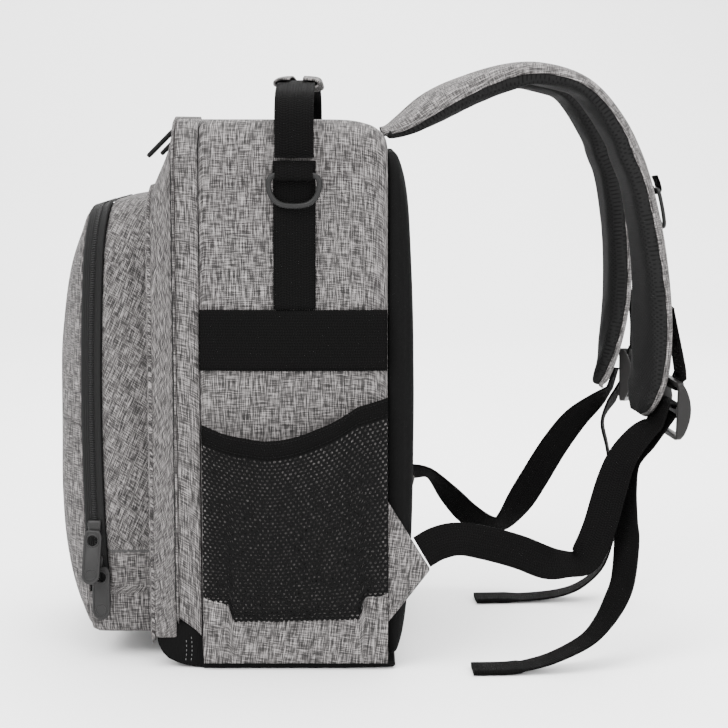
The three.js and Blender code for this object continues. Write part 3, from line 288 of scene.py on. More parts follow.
def heather(name, turn=0.0, bright=1.0, lower_turn=None, lower_z=82.0, seed=0.0):
    """Marled grey cloth: light and dark threads side by side, each a few centimetres long at most, with a
    fine plain weave. turn slants the threads, and lower_turn does below a seam at lower_z."""
    paint = Paint(name)
    angle = radians(turn)
    along = paint.along * cos(angle) + paint.across * sin(angle)
    across = paint.across * cos(angle) - paint.along * sin(angle)
    below = None
    if lower_turn is not None:
        low = radians(lower_turn)
        below = 1.0 - paint.z.step(lower_z - 0.4, lower_z + 0.4)
        along = along * (1.0 - below) + (paint.along * cos(low) + paint.across * sin(low)) * below
        across = across * (1.0 - below) + (paint.across * cos(low) - paint.along * sin(low)) * below
    warp = paint.noise(along * 0.09, across * 1.5, seed, 1.0)
    slub = paint.noise(along * 0.05, across * 0.5, seed + 7.0, 2.0)
    weft = paint.noise(along * 1.4, across * 0.1, seed + 13.0, 1.0)
    tone = ((warp - 0.5) * 2.7 + (slub - 0.5) * 0.7 + (weft - 0.5) * 1.8 + 0.44).held()
    dark = paint.mix(tone.step(0.0, 0.5), grey(0.009 * bright, 0.07), grey(0.042 * bright, 0.07))
    color = paint.mix(tone.step(0.45, 1.0), dark, grey(0.18 * bright, 0.07))
    worn = paint.noise(paint.x * 0.02, paint.y * 0.02, paint.z * 0.02)
    color = paint.mix((worn - 0.35) * 0.3, color, grey(0.06 * bright, 0.07))
    weave = (along * 4.2).sin() * (across * 5.2).sin()
    height = tone * 0.5 + weave * 0.25
    if below is not None:
        seam = 1.0 - (paint.z - lower_z).size().step(0.3, 1.6)
        height = height - seam * 2.0
        color = paint.mix(seam * 0.8, color, grey(0.03))
    rough = 0.88 + warp * 0.1
    return paint.finish(color, rough, height, 0.00016, Specular_IOR_Level=0.2)


def dark_cloth(name, level=0.0025, dots=False):
    """Black cloth with a fine grain. dots makes it a spacer mesh, with small pits in rows."""
    paint = Paint(name)
    grain = paint.noise(paint.along * 1.3, paint.across * 1.3, 0.0)
    if dots:
        shift = (paint.across * 2.1).sin() * (paint.along * 1.9).sin()
        pits = shift.step(0.1, 0.8)
        height = grain * 0.3 - pits
        color = paint.mix(pits * 0.7 + (grain - 0.5) * 0.4, grey(level * 1.5), grey(level * 0.35))
        depth = 0.0003
    else:
        height = (paint.along * 5.0).sin() * (paint.across * 5.0).sin() * 0.3 + grain
        color = paint.mix(grain, grey(level * 0.6), grey(level * 1.5))
        depth = 0.00025
    soft = paint.noise(paint.x * 0.03, paint.y * 0.03, paint.z * 0.03)
    color = paint.mix((soft - 0.4) * 0.5, color, grey(level * 1.9))
    return paint.finish(color, 0.86 + grain * 0.1, height, depth, Specular_IOR_Level=0.05)


def woven_band(name, level=0.0025):
    """Black webbing: fine ribs across it in a chevron weave, and a firm edge."""
    paint = Paint(name)
    fold = ((paint.across * 0.62).sin() * 1.6).math("ARCTANGENT")
    rib = (paint.along * 3.4 + fold * 2.4).sin()
    cord = (paint.across * 3.1).sin()
    grain = paint.noise(paint.along * 0.9, paint.across * 1.6, 3.0)
    height = rib * 0.5 + cord * 0.35 + grain * 0.5
    color = paint.mix(grain * 0.7 + rib * 0.12 + cord * 0.1,
                      grey(level * 0.55, 0.03), grey(level * 1.9, 0.03))
    return paint.finish(color, 0.72 + grain * 0.16, height, 0.0003, Specular_IOR_Level=0.02)


def plain_yarn(name, level, rough=0.85):
    paint = Paint(name)
    fuzz = paint.noise(paint.x * 1.9, paint.y * 1.9, paint.z * 1.9)
    color = paint.mix(fuzz, grey(level * 0.6), grey(level * 1.5))
    return paint.finish(color, rough + fuzz * 0.1, fuzz, 0.00012, Specular_IOR_Level=0.05)


def zip_cloth(name):
    """Zip tape: a fine rib that runs along it."""
    paint = Paint(name)
    rib = (paint.across * 4.4).sin()
    grain = paint.noise(paint.along * 1.2, paint.across * 1.2, 5.0)
    color = paint.mix(grain * 0.8 + rib * 0.15, grey(0.002), grey(0.009))
    return paint.finish(color, 0.75 + grain * 0.15, rib * 0.5 + grain * 0.4, 0.0003, Specular_IOR_Level=0.15)


def hard(name, level, metal, rough, warm=0.0, coat=0.0):
    """Painted metal or moulded plastic: almost even, with faint handling marks."""
    paint = Paint(name)
    cloud = paint.noise(paint.x * 0.12, paint.y * 0.12, paint.z * 0.12, 4.0)
    scuff = paint.noise(paint.x * 0.8, paint.y * 2.2, paint.z * 0.8, 5.0)
    color = paint.mix(cloud, grey(level * 0.82, warm), grey(level * 1.15, warm))
    wear = (scuff - 0.5) * 0.18 + (cloud - 0.5) * 0.12
    return paint.finish(color, wear + rough, scuff, 0.00003, Metallic=metal, Coat_Weight=coat,
                        Specular_IOR_Level=0.12)


LOOKS = {
    "side_cloth": heather("grey_cloth_side", turn=0.0, seed=0.0),
    "slant_cloth": heather("grey_cloth_slant", turn=17.0, seed=3.0),
    "gusset_cloth": heather("grey_cloth_gusset", turn=-28.0, lower_turn=0.0, seed=5.0),
    "front_cloth": heather("grey_cloth_front", turn=0.0, seed=8.0),
    "strap_cloth": heather("grey_cloth_strap", turn=3.0, seed=11.0, bright=1.12),
    "fold_cloth": heather("grey_cloth_fold", turn=8.0, seed=17.0, bright=1.08),
    "black_cloth": dark_cloth("black_cloth"),
    "mesh_padding": dark_cloth("mesh_padding", 0.005, dots=True),
    "webbing": woven_band("webbing"),
    "net": plain_yarn("net_yarn", 0.003),
    "zip_tape": zip_cloth("zip_tape"),
    "zip_teeth": hard("zip_teeth", 0.012, 0.0, 0.4),
    "gunmetal": hard("gunmetal", 0.016, 0.2, 0.4, 0.02),
    "dark_pull": hard("dark_pull", 0.003, 0.0, 0.5),
    "grey_plastic": hard("grey_plastic", 0.008, 0.0, 0.42, 0.06),
    "ring_paint": hard("ring_paint", 0.01, 0.0, 0.46, 0.0),
    "grey_thread": plain_yarn("grey_thread", 0.085),
    "black_thread": plain_yarn("black_thread", 0.005),
}


# Meshes from arrays

def add_mesh(name, points, faces, look, uv=None, body="bag", replaces=(), sharp=False, extra=()):
    """One piece from points (n, 3) in millimetres and a list of face arrays. uv has a row for each corner."""
    mesh = bpy.data.meshes.new(name)
    rows = [row for block in faces for row in np.asarray(block).tolist()]
    mesh.from_pydata((np.asarray(points) * MM).tolist(), [], rows)
    mesh.polygons.foreach_set("use_smooth", [not sharp] * len(mesh.polygons))
    if uv is not None:
        layer = mesh.uv_layers.new(name="UVMap")
        layer.data.foreach_set("uv", (np.asarray(uv) * MM).ravel())
    mesh.materials.append(LOOKS[look])
    for other in extra:
        mesh.materials.append(LOOKS[other])
    piece = bpy.data.objects.new(name, mesh)
    scene.collection.objects.link(piece)
    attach(piece, body)
    if replaces:
        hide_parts(*replaces)
    return piece


def thicken(piece, thickness, offset=-1.0, bevel=0.0):
    """Gives a sheet its thickness, on the side away from its face, and softens the rim where asked."""
    walls = piece.modifiers.new("thickness", "SOLIDIFY")
    walls.thickness = thickness * MM
    walls.offset = offset
    if bevel > 0:
        rim = piece.modifiers.new("rim", "BEVEL")
        rim.width = bevel * MM
        rim.segments = 2
        rim.limit_method = "ANGLE"
        rim.angle_limit = radians(50)
    return piece


def grid_faces(rows, columns, around=False):
    """Four-cornered faces between the points of a grid, and for each corner its row and its column.
    around joins the last column to the first, whose corners then count on as one more column."""
    last = columns if around else columns - 1
    i, j = np.meshgrid(np.arange(rows - 1), np.arange(last), indexing="ij")
    i, j = i.ravel(), j.ravel()
    row = np.stack([i, i + 1, i + 1, i], 1)
    column = np.stack([j, j, j + 1, j + 1], 1)
    return row * columns + column % columns, row, column


def facing(points, faces, middle=None):
    """Whether faces look outward: away from a middle point, or else by the sign of the closed volume."""
    a, b, c = (points[faces[:, k]] for k in range(3))
    normal = np.cross(b - a, c - a)
    if middle is None:
        d = points[faces[:, -1]]
        return (np.einsum("ij,ij->i", a, np.cross(b, c)) + np.einsum("ij,ij->i", a, np.cross(c, d))).sum() > 0
    return np.einsum("ij,ij->i", normal, a - np.asarray(middle)).sum() > 0


def lengths(points):
    """How far along a row of points each one lies."""
    steps = np.linalg.norm(np.diff(points, axis=0), axis=1)
    return np.concatenate([[0.0], np.cumsum(steps)])


def grid_uv(grid, around):
    """Millimetres along the rows' and the columns' middle lines, as if the cloth were laid flat."""
    rows, columns = grid.shape[:2]
    down = lengths(grid[:, columns // 2])
    ring = grid[rows // 2]
    side = lengths(np.concatenate([ring, ring[:1]]) if around else ring)
    return down, side


def sheet(name, grid, look, thickness, middle=BAG_MIDDLE, around=False, swap=False, bevel=0.0, **more):
    """A sheet of cloth through a grid of points (rows, columns, 3). Its first direction follows the
    columns, or the rows where swap is set."""
    rows, columns = grid.shape[:2]
    faces, row, column = grid_faces(rows, columns, around)
    down, side = grid_uv(grid, around)
    points = grid.reshape(-1, 3)
    if not facing(points, faces, middle):
        faces, row, column = faces[:, ::-1], row[:, ::-1], column[:, ::-1]
    first, second = (down[row], side[column]) if swap else (side[column], down[row])
    uv = np.stack([first.ravel(), second.ravel()], 1)
    piece = add_mesh(name, points, [faces], look, uv, **more)
    return thicken(piece, thickness, bevel=bevel) if thickness else piece


def sweep(name, centres, across, face, section, look, around=False, scale=None, **more):
    """A closed section, given as shares (across, off) in millimetres, carried along a line of centres.
    The ends are capped unless around joins them. scale widens or narrows it at each centre."""
    centres = np.asarray(centres, float)
    count, sides = len(centres), len(section)
    section = np.asarray(section, float)
    size = np.ones((count, 2))
    if scale is not None:
        size = size * np.asarray(scale, float).reshape(count, -1)
    grid = (centres[:, None] + across[:, None] * (section[None, :, :1] * size[:, None, :1])
            + face[:, None] * (section[None, :, 1:] * size[:, None, 1:]))
    points = grid.reshape(-1, 3)
    ring = lengths(np.concatenate([section, section[:1]]))
    if around:
        grid = np.concatenate([grid, grid[:1]])
        faces, row, column = grid_faces(count + 1, sides, True)
        faces = (row % count) * sides + column % sides
        along = lengths(np.concatenate([centres, centres[:1]]))
        caps = []
    else:
        faces, row, column = grid_faces(count, sides, True)
        along = lengths(centres)
        caps = [list(range(sides))[::-1], [(count - 1) * sides + k for k in range(sides)]]
    uv = np.stack([along[row].ravel(), (ring[column]).ravel()], 1)
    flat = np.concatenate([section[::-1], section])
    if not facing(points, faces):
        faces = faces[:, ::-1]
        uv = uv.reshape(-1, 4, 2)[:, ::-1].reshape(-1, 2)
        caps = [cap[::-1] for cap in caps]
        flat = np.concatenate([section, section[::-1]])
    blocks = [faces]
    if not around:
        blocks.append(caps)
        uv = np.concatenate([uv, flat])
    return add_mesh(name, points, blocks, look, uv, **more)


def band_section(width, thickness, edge=4):
    """The section of webbing: flat, with half-round edges."""
    half, r = width / 2 - thickness / 2, thickness / 2
    angle = np.linspace(-pi / 2, pi / 2, edge + 1)
    right = np.stack([half + r * np.cos(angle), r * np.sin(angle)], 1)
    flat = np.linspace(0.75, -0.75, 5)[:, None] * half * np.array([[1.0, 0.0]])
    return np.concatenate([right, flat + [0, r], -right, -flat - [0, r]])


def round_section(width, sides=12):
    angle = np.linspace(0, 2 * pi, sides, endpoint=False)
    return np.stack([np.cos(angle), np.sin(angle)], 1) * width / 2


def unit(vectors):
    vectors = np.asarray(vectors, float)
    return vectors / np.linalg.norm(vectors, axis=-1, keepdims=True)


def directions(centres):
    """The way the line of centres runs at each of them."""
    ends = np.concatenate([centres[:1], centres, centres[-1:]])
    return unit(ends[2:] - ends[:-2])


def square_to(across, along):
    """across, made square to the way along, and the direction off the face."""
    across = unit(across - along * np.einsum("ij,ij->i", across, along)[:, None])
    return across, unit(np.cross(across, along))


def smooth(rows, steps):
    """A curve through the rows of a table, each column on its own, with steps between two rows."""
    rows = np.asarray(rows, float)
    at = np.concatenate([rows[:1], rows, rows[-1:]])
    share = np.linspace(0, 1, steps, endpoint=False)[:, None]
    parts = []
    for a, b, c, d in zip(at[:-3], at[1:-2], at[2:-1], at[3:]):
        parts.append(0.5 * (2 * b + (c - a) * share + (2 * a - 5 * b + 4 * c - d) * share ** 2
                            + (3 * b - a - 3 * c + d) * share ** 3))
    return np.concatenate([*parts, rows[-1:]])


def lerp(a, b, t):
    return a + (b - a) * t


def ramp(t):
    t = np.clip(t, 0, 1)
    return t * t * (3 - 2 * t)


def squared_up(wave, power):
    """A cosine or sine raised to a power below 1 with its sign kept: a pair of them makes a squarer round."""
    return np.sign(wave) * np.abs(wave) ** power


def ripple(a, b, size, seed):
    """A smooth uneven field between about -1 and 1: seven waves of uneven direction, length and phase."""
    rng = np.random.default_rng(seed)
    total = 0
    for _ in range(7):
        angle, phase = rng.uniform(0, 2 * pi, 2)
        wave = size * rng.uniform(0.6, 1.6)
        total = total + np.sin(2 * pi * (a * cos(angle) + b * sin(angle)) / wave + phase)
    return total / 3.5


class Stitches:
    """Gathers short runs of thread and makes one joined piece of them."""

    def __init__(self):
        self.starts, self.ends, self.ups = [], [], []

    def run(self, path, up, pitch=3.4, share=0.68):
        """Stitches along a path (n, 3). up (3,) or (n, 3) points off the cloth."""
        path = np.asarray(path, float)
        up = np.broadcast_to(np.asarray(up, float), path.shape)
        far = lengths(path)
        count = max(int(far[-1] / pitch), 1)
        start = np.arange(count) * far[-1] / count
        stop = start + pitch * share
        at = [np.stack([np.interp(s, far, path[:, k]) for k in range(3)], 1) for s in (start, stop)]
        way = np.stack([np.interp(start, far, up[:, k]) for k in range(3)], 1)
        self.starts.append(at[0])
        self.ends.append(at[1])
        self.ups.append(unit(way))
        return self

    def build(self, name, look, width=0.55, **more):
        """Each stitch is a six-cornered grain of thread that dips into the cloth at both ends."""
        a, b, up = (np.concatenate(part) for part in (self.starts, self.ends, self.ups))
        along = unit(b - a)
        side = unit(np.cross(along, up)) * width / 2
        rise = up * width * 0.45
        q, r = lerp(a, b, 0.25), lerp(a, b, 0.75)
        corners = np.stack([a - rise * 0.4, q + side, q + rise, q - side, q - rise, r + side, r + rise,
                            r - side, r - rise, b - rise * 0.4], 1)
        count = len(a)
        ring = [[1 + k, 1 + (k + 1) % 4, 5 + (k + 1) % 4, 5 + k] for k in range(4)]
        tips = [[0, 1 + (k + 1) % 4, 1 + k] for k in range(4)]
        tips += [[9, 5 + k, 5 + (k + 1) % 4] for k in range(4)]
        base = (np.arange(count) * 10)[:, None, None]
        quads = (base + np.array(ring)).reshape(-1, 4)
        sharp_ends = (base + np.array(tips)).reshape(-1, 3)
        return add_mesh(name, corners.reshape(-1, 3), [quads, sharp_ends], look, **more)


def side_x(y, z):
    """How far the side panel stands out at a place on it."""
    u = np.clip((y - FRONT_SEAM_Y) / SIDE_DEPTH, 0, 1)
    v = np.clip(z / BODY_HEIGHT, 0, 1)
    return HALF + SIDE_CROWN * 16 * u * (1 - u) * v * (1 - v)


# Body panels

SHELL_ROWS = [  # depth, drop, inset
    (0.0, 4.0, 1.6), (0.02, 0.8, 0.3), (0.06, 0.0, 0.0), (0.28, 0.0, 0.0), (0.53, 0.0, 0.0), (0.76, 0.5, 0.0),
    (0.9, 4.0, 0.0), (0.965, 9.0, 0.2), (0.99, 14.0, 0.7), (1.0, 20.0, 1.4),
]


def main_shell():
    """The sides and the top are one bent wall: rows along the depth, columns up one side, round the
    corner, over the top and down the other side. Slow ripples and a pull at the seams liven it."""
    rows = smooth(SHELL_ROWS, 5)
    y = FRONT_SEAM_Y + rows[:, 0] * SIDE_DEPTH
    drop, inset = rows[:, 1], rows[:, 2]
    radius = CORNER_RADIUS
    sections = []
    for at, fall, step in zip(y, drop, inset):
        top = BODY_HEIGHT - fall
        z = np.linspace(BASE_THICKNESS + SEAT, top - radius, 60)
        edge = np.minimum((at - FRONT_SEAM_Y), (BACK_SEAM_Y - at))
        puff = ripple(at, z, 90, 4) * 0.7 * ramp(edge / 22)
        x = side_x(at, z) - step + puff - 0.7
        corner = x[-1] - radius
        angle = np.linspace(0, pi / 2, 13)[1:]
        arc = np.stack([corner + radius * np.cos(angle), top - radius + radius * np.sin(angle)], 1)
        over = np.linspace(corner, -corner, 26)[1:-1]
        crest = top + ripple(over, at, 100, 9) * 0.9 * ramp(edge / 25) - 0.5
        right = np.concatenate([np.stack([x, z], 1), arc])
        left = right[::-1] * [-1, 1]
        loop = np.concatenate([right, np.stack([over, crest], 1), left])
        sections.append(np.stack([loop[:, 0], np.full(len(loop), at), loop[:, 1]], 1))
    grid = np.stack(sections)
    sheet("main_shell", grid, "side_cloth", CLOTH - 0.4, replaces=["main_shell"])


def outline(half, bottom, top, top_radius, bottom_radius, arc=9, side=34, over=20):
    """Points round a rectangle with round corners, seen from the front, as (n, 2)."""
    def bow(x, z, r, start):
        angle = start + np.linspace(0, pi / 2, arc)
        return np.stack([x + r * np.cos(angle), z + r * np.sin(angle)], 1)

    def line(a, b, count):
        t = np.linspace(0, 1, count + 1)[1:-1, None]
        return lerp(np.array([a]), np.array([b]), t)

    return np.concatenate([
        bow(half - top_radius, top - top_radius, top_radius, 0),
        line((half - top_radius, top), (top_radius - half, top), over),
        bow(top_radius - half, top - top_radius, top_radius, pi / 2),
        line((-half, top - top_radius), (-half, bottom + bottom_radius), side),
        bow(bottom_radius - half, bottom + bottom_radius, bottom_radius, pi),
        line((bottom_radius - half, bottom), (half - bottom_radius, bottom), over),
        bow(half - bottom_radius, bottom + bottom_radius, bottom_radius, 1.5 * pi),
        line((half, bottom + bottom_radius), (half, top - top_radius), side),
    ])


def panel(name, rings, look, thickness, rim=0, **more):
    """A dish of cloth: rings of one outline, the last of them drawn together to a small middle, which is
    then closed by one face. rings is (rows, points, 3). The first rows, rim of them, are laid flat along
    the edge, and the rest by height and width."""
    grid = np.asarray(rings)
    rows, columns = grid.shape[:2]
    faces, row, column = grid_faces(rows, columns, True)
    points = grid.reshape(-1, 3)
    cap = [(rows - 1) * columns + k for k in range(columns)]
    if not facing(points, faces, BAG_MIDDLE):
        faces, row, column = faces[:, ::-1], row[:, ::-1], column[:, ::-1]
    flipped = points[cap[0]][1] < 0
    a, b, c = points[cap[0]], points[cap[columns // 3]], points[cap[2 * columns // 3]]
    if (np.cross(b - a, c - a)[1] < 0) != flipped:
        cap = cap[::-1]
    edge = lengths(np.concatenate([grid[0], grid[0][:1]]))
    deep = lengths(grid[:, columns // 5])
    plan = np.stack([points[:, 2], points[:, 0]], 1)
    laid = np.where((row.min(1) < rim)[:, None, None], np.stack([edge[column], deep[row]], 2), plan[faces])
    uv = np.concatenate([laid.reshape(-1, 2), plan[cap]])
    piece = add_mesh(name, points, [faces, [cap]], look, uv, **more)
    return thicken(piece, thickness)


def rings_of(table, steps, bottom_radius=3.0):
    """Rings from a table of y, half, top, bottom, radius and share of the way to the middle."""
    rings = []
    for y, half, top, bottom, radius, share in smooth(table, steps):
        loop = outline(half, bottom, top, radius, bottom_radius)
        middle = (top + bottom) / 2
        x, z = loop[:, 0] * (1 - share), lerp(loop[:, 1], middle, share)
        rings.append(np.stack([x, np.full(len(x), y), z], 1))
    return rings


def lid_panel():
    """The lid: a shallow dish whose rim meets the main shell, its lower edge slanting up to the front."""
    back = FRONT_SEAM_Y - SEAT
    low = BASE_CHEEK - 10
    high = BASE_CHEEK + LID_STEP
    r = CORNER_RADIUS
    table = [
        (back, HALF - 1.8, BODY_HEIGHT - LID_STEP - 1.5, low, r, 0),
        (back - 0.8, HALF - 0.6, BODY_HEIGHT - 1.2, low, r, 0),
        (back - LID_DEPTH * 0.3, HALF, BODY_HEIGHT, low + 5, r, 0),
        (back - LID_DEPTH * 0.75, HALF, BODY_HEIGHT, high - 2, r, 0),
        (lidded(0.93), HALF - 0.7, BODY_HEIGHT - 0.7, high, r, 0),
        (LID_FRONT_Y, HALF - 3, BODY_HEIGHT - 3, high + 1, r, 0),
        (LID_FRONT_Y, HALF - 3, BODY_HEIGHT - 3, high + 1, r, 0.06),
        (LID_FRONT_Y, HALF - 3, BODY_HEIGHT - 3, high + 1, r, 0.9),
    ]
    panel("lid_panel", rings_of(table, 3, 5.0), "side_cloth", 1.6, rim=15, replaces=["lid_panel"])


def lidded(share):
    return FRONT_SEAM_Y - SEAT - LID_DEPTH * share


def organiser_section():
    """The flat section before the lid: its top slopes down to the pocket, with a seam at its front edge."""
    half, low, top, r = HALF - ORGANISER_INSET, ORGANISER_BOTTOM, ORGANISER_TOP, CORNER_RADIUS + 4
    back, deep, fall = ORGANISER_BACK_Y, ORGANISER_DEPTH, ORGANISER_SLOPE
    table = [
        (back, half - 1.2, top - 0.5, low, r, 0),
        (back - deep * 0.06, half, top, low, r, 0),
        (back - deep * 0.35, half, top - fall * 0.4, low, r, 0),
        (back - deep * 0.75, half, top - fall * 0.82, low, r, 0),
        (back - deep * 0.93, half - 1.0, top - fall * 0.99, low + 1, r, 0),
        (back - deep, half - 4.0, top - fall * 1.1, low + 3, r, 0),
        (back - deep, half - 4.5, top - fall * 1.11, low + 3, r, 0.04),
        (back - deep, half - 4.5, top - fall * 1.11, low + 3, r, 0.9),
    ]
    panel("organiser_section", rings_of(table, 4, 6.0), "slant_cloth", 1.8, rim=20,
          replaces=["organiser_section"])


def zip_ring(name, y_back, y_front, inset, look, **more):
    """The organiser's tape: a narrow band that fills the gap between lid and organiser."""
    shape = outline(HALF - inset, BASE_CHEEK + 8, ORGANISER_TOP - 4, CORNER_RADIUS, 12)
    grid = np.stack([np.stack([shape[:, 0], np.full(len(shape), y), shape[:, 1]], 1)
                     for y in (y_back, y_front)])
    sheet(name, grid, look, 4.0, around=True, **more)


# Front pocket

POCKET_MIDDLE = (POCKET_TOP + POCKET_BOTTOM) / 2
POCKET_HALF = (POCKET_TOP - POCKET_BOTTOM) / 2


def zip_line_y(z):
    """The bowed line of the zip, which stands furthest out at half height."""
    return POCKET_BACK_Y - GUSSET_DEPTH - GUSSET_BOW * (1 - ((z - POCKET_MIDDLE) / POCKET_HALF) ** 2)


def pocket_loop(shrink):
    return outline(POCKET_WIDTH / 2 - shrink, POCKET_BOTTOM + shrink, POCKET_TOP - shrink,
                   POCKET_CORNER - shrink, 14, arc=13, side=46, over=26)


def upper_share(z):
    return np.maximum(0, (z - POCKET_MIDDLE) / POCKET_HALF) ** 2


def pocket_gusset():
    """The band of cloth round the pocket, from the organiser to the zip, and to the face below its ends."""
    loop = pocket_loop(0)
    x, z = loop.T
    front = zip_line_y(z) - TAPE_WIDTH * ramp((TAPE_END + 2 - z) / 5)
    rings = []
    for share in np.linspace(0, 1, 12):
        fall = POCKET_TAPER * share * upper_share(z)
        tuck = 1.6 * ramp((share - 0.9) / 0.1) + 1.0 * ramp((0.08 - share) / 0.08)
        puff = ripple(z, x + share * 30, 70, 12) * 0.8 * sin(pi * share)
        wide = x * (1 - 0.012 * share) - np.sign(x) * (tuck - puff) * np.clip(np.abs(x) / 60, 0, 1)
        from_middle = z - POCKET_MIDDLE
        high = z - fall - np.sign(from_middle) * tuck * np.clip(np.abs(from_middle) / 150, 0, 1) ** 4
        rings.append(np.stack([wide, lerp(POCKET_BACK_Y, front, share), high], 1))
    sheet("pocket_gusset", np.stack(rings), "gusset_cloth", 2.2, around=True,
          replaces=["pocket_gusset"])


def tape_point(x, z, share, off=0.0):
    """A place on the zip tape: share runs from its back edge to its front edge, off lifts it."""
    reach = lerp(SEAT, TAPE_WIDTH - SEAT, share)
    drop = POCKET_TAPER * upper_share(z) * (1 + share * 0.8)
    out = np.clip(np.abs(x) / 60, 0, 1) * np.sign(x) * off
    up = off * ramp((z - (POCKET_TOP - POCKET_CORNER)) / 30)
    return np.stack([x * (0.988 - TAPE_SLANT * share) + out, zip_line_y(z) - reach, z - drop + up], -1)


def tape_run(inset, count=420):
    """The zip's own line, from its right end up over the pocket to its left end, evenly spaced."""
    loop = pocket_loop(inset)
    keep = loop[:, 1] > TAPE_END + 3
    start = next(k for k in range(len(loop)) if keep[k] and not keep[k - 1])
    line = np.roll(loop, -start, axis=0)[np.roll(keep, -start)]
    if line[0][0] < 0:
        line = line[::-1]
    far = lengths(line)
    at = np.linspace(0, far[-1], count)
    return np.stack([np.interp(at, far, line[:, 0]), np.interp(at, far, line[:, 1])], 1)


def pocket_zip():
    """Two tapes with a raised welt at each outer edge, and between them the teeth of the coil."""
    line = tape_run(0.8)
    x, z = line.T
    shares = np.array([0.0, 0.04, 0.1, 0.2, 0.3, 0.4, 0.46, 0.54, 0.6, 0.7, 0.8, 0.9, 0.96, 1.0])
    lift = np.array([-0.6, 0.7, 1.1, 0.5, 0.15, 0.1, 0.0, 0.0, 0.1, 0.15, 0.5, 1.1, 0.7, -0.6])
    grid = np.stack([tape_point(x, z, share, off) for share, off in zip(shares, lift)])
    sheet("pocket_zip_tape", grid, "zip_tape", 1.2, replaces=["pocket_zip_tape"])
    fine = tape_run(0.8, 2600)
    far = lengths(tape_point(fine[:, 0], fine[:, 1], 0.5))
    count = int(far[-1] / 1.7)
    at = (np.arange(count) + 0.5) * far[-1] / count
    where = np.stack([np.interp(at, far, fine[:, k]) for k in (0, 1)], 1)
    ahead = np.stack([np.interp(at + 0.5, far, fine[:, k]) for k in (0, 1)], 1)
    corners = []
    for share in (0.4, 0.6):
        base = tape_point(where[:, 0], where[:, 1], share, 0.1)
        top = tape_point(where[:, 0], where[:, 1], share, 1.0)
        along = unit(tape_point(ahead[:, 0], ahead[:, 1], share, 0.1) - base) * 0.55
        corners += [base - along, base + along, top + along * 0.6, top - along * 0.6]
    block = np.stack(corners, 1)
    ring = np.array([[0, 1, 2, 3], [7, 6, 5, 4], [0, 4, 5, 1], [1, 5, 6, 2], [2, 6, 7, 3], [3, 7, 4, 0]])
    faces = (np.arange(count) * 8)[:, None, None] + ring
    points = block.reshape(-1, 3)
    faces = faces.reshape(-1, 4)
    if not facing(points - points.mean(0), faces):
        faces = faces[:, ::-1]
    add_mesh("pocket_zip_teeth", points, [faces], "zip_teeth")


def face_y(share, z):
    power = lerp(3.6, 2.4, ramp((z - POCKET_MIDDLE + 60) / 120))
    return zip_line_y(z) - TAPE_WIDTH - SEAT - FACE_CROWN * (1 - share ** power)


def pocket_face():
    """The pocket's crowned front, fuller towards its foot, drawn in at its edge seam."""
    loop = pocket_loop(2.5)
    x, z = loop.T
    shares = np.concatenate([[1.0, 0.996, 0.988, 0.975], np.linspace(0.95, 0.04, 26)])
    rings = []
    for share in shares:
        low = lerp(POCKET_MIDDLE, z - np.where(z > POCKET_MIDDLE, POCKET_TAPER * 1.8, 0), share)
        wide = x * 0.966 * share
        dent = ripple(wide, low, 110, 21) * 1.3 * ramp((1 - share) / 0.25)
        seam = 1.0 * ramp((0.992 - share) / 0.03) * ramp((share - 0.93) / 0.05)
        rings.append(np.stack([wide, face_y(share, low) + dent - seam, low], 1))
    panel("pocket_face", rings, "front_cloth", 2.0, rim=2, replaces=["pocket_face"])


def front_patch():
    """A thin bare plate that follows the crowned cloth, its corners rounded."""
    u, v = np.meshgrid(np.linspace(-1, 1, 30), np.linspace(-1, 1, 16))
    bend = np.sqrt(1 - np.clip(np.abs(u) * np.abs(v), 0, 1) ** 6 * 0.06)
    x, z = u * 29 * bend, 88 + v * 15 * bend
    share = np.maximum((POCKET_MIDDLE - z) / POCKET_HALF, np.abs(x) / (POCKET_WIDTH / 2))
    y = face_y(share, z) - 2.7
    sheet("front_patch", np.stack([x, y, z], -1), "grey_plastic", 2.0, replaces=["front_patch"], bevel=0.5)


# Foot and back

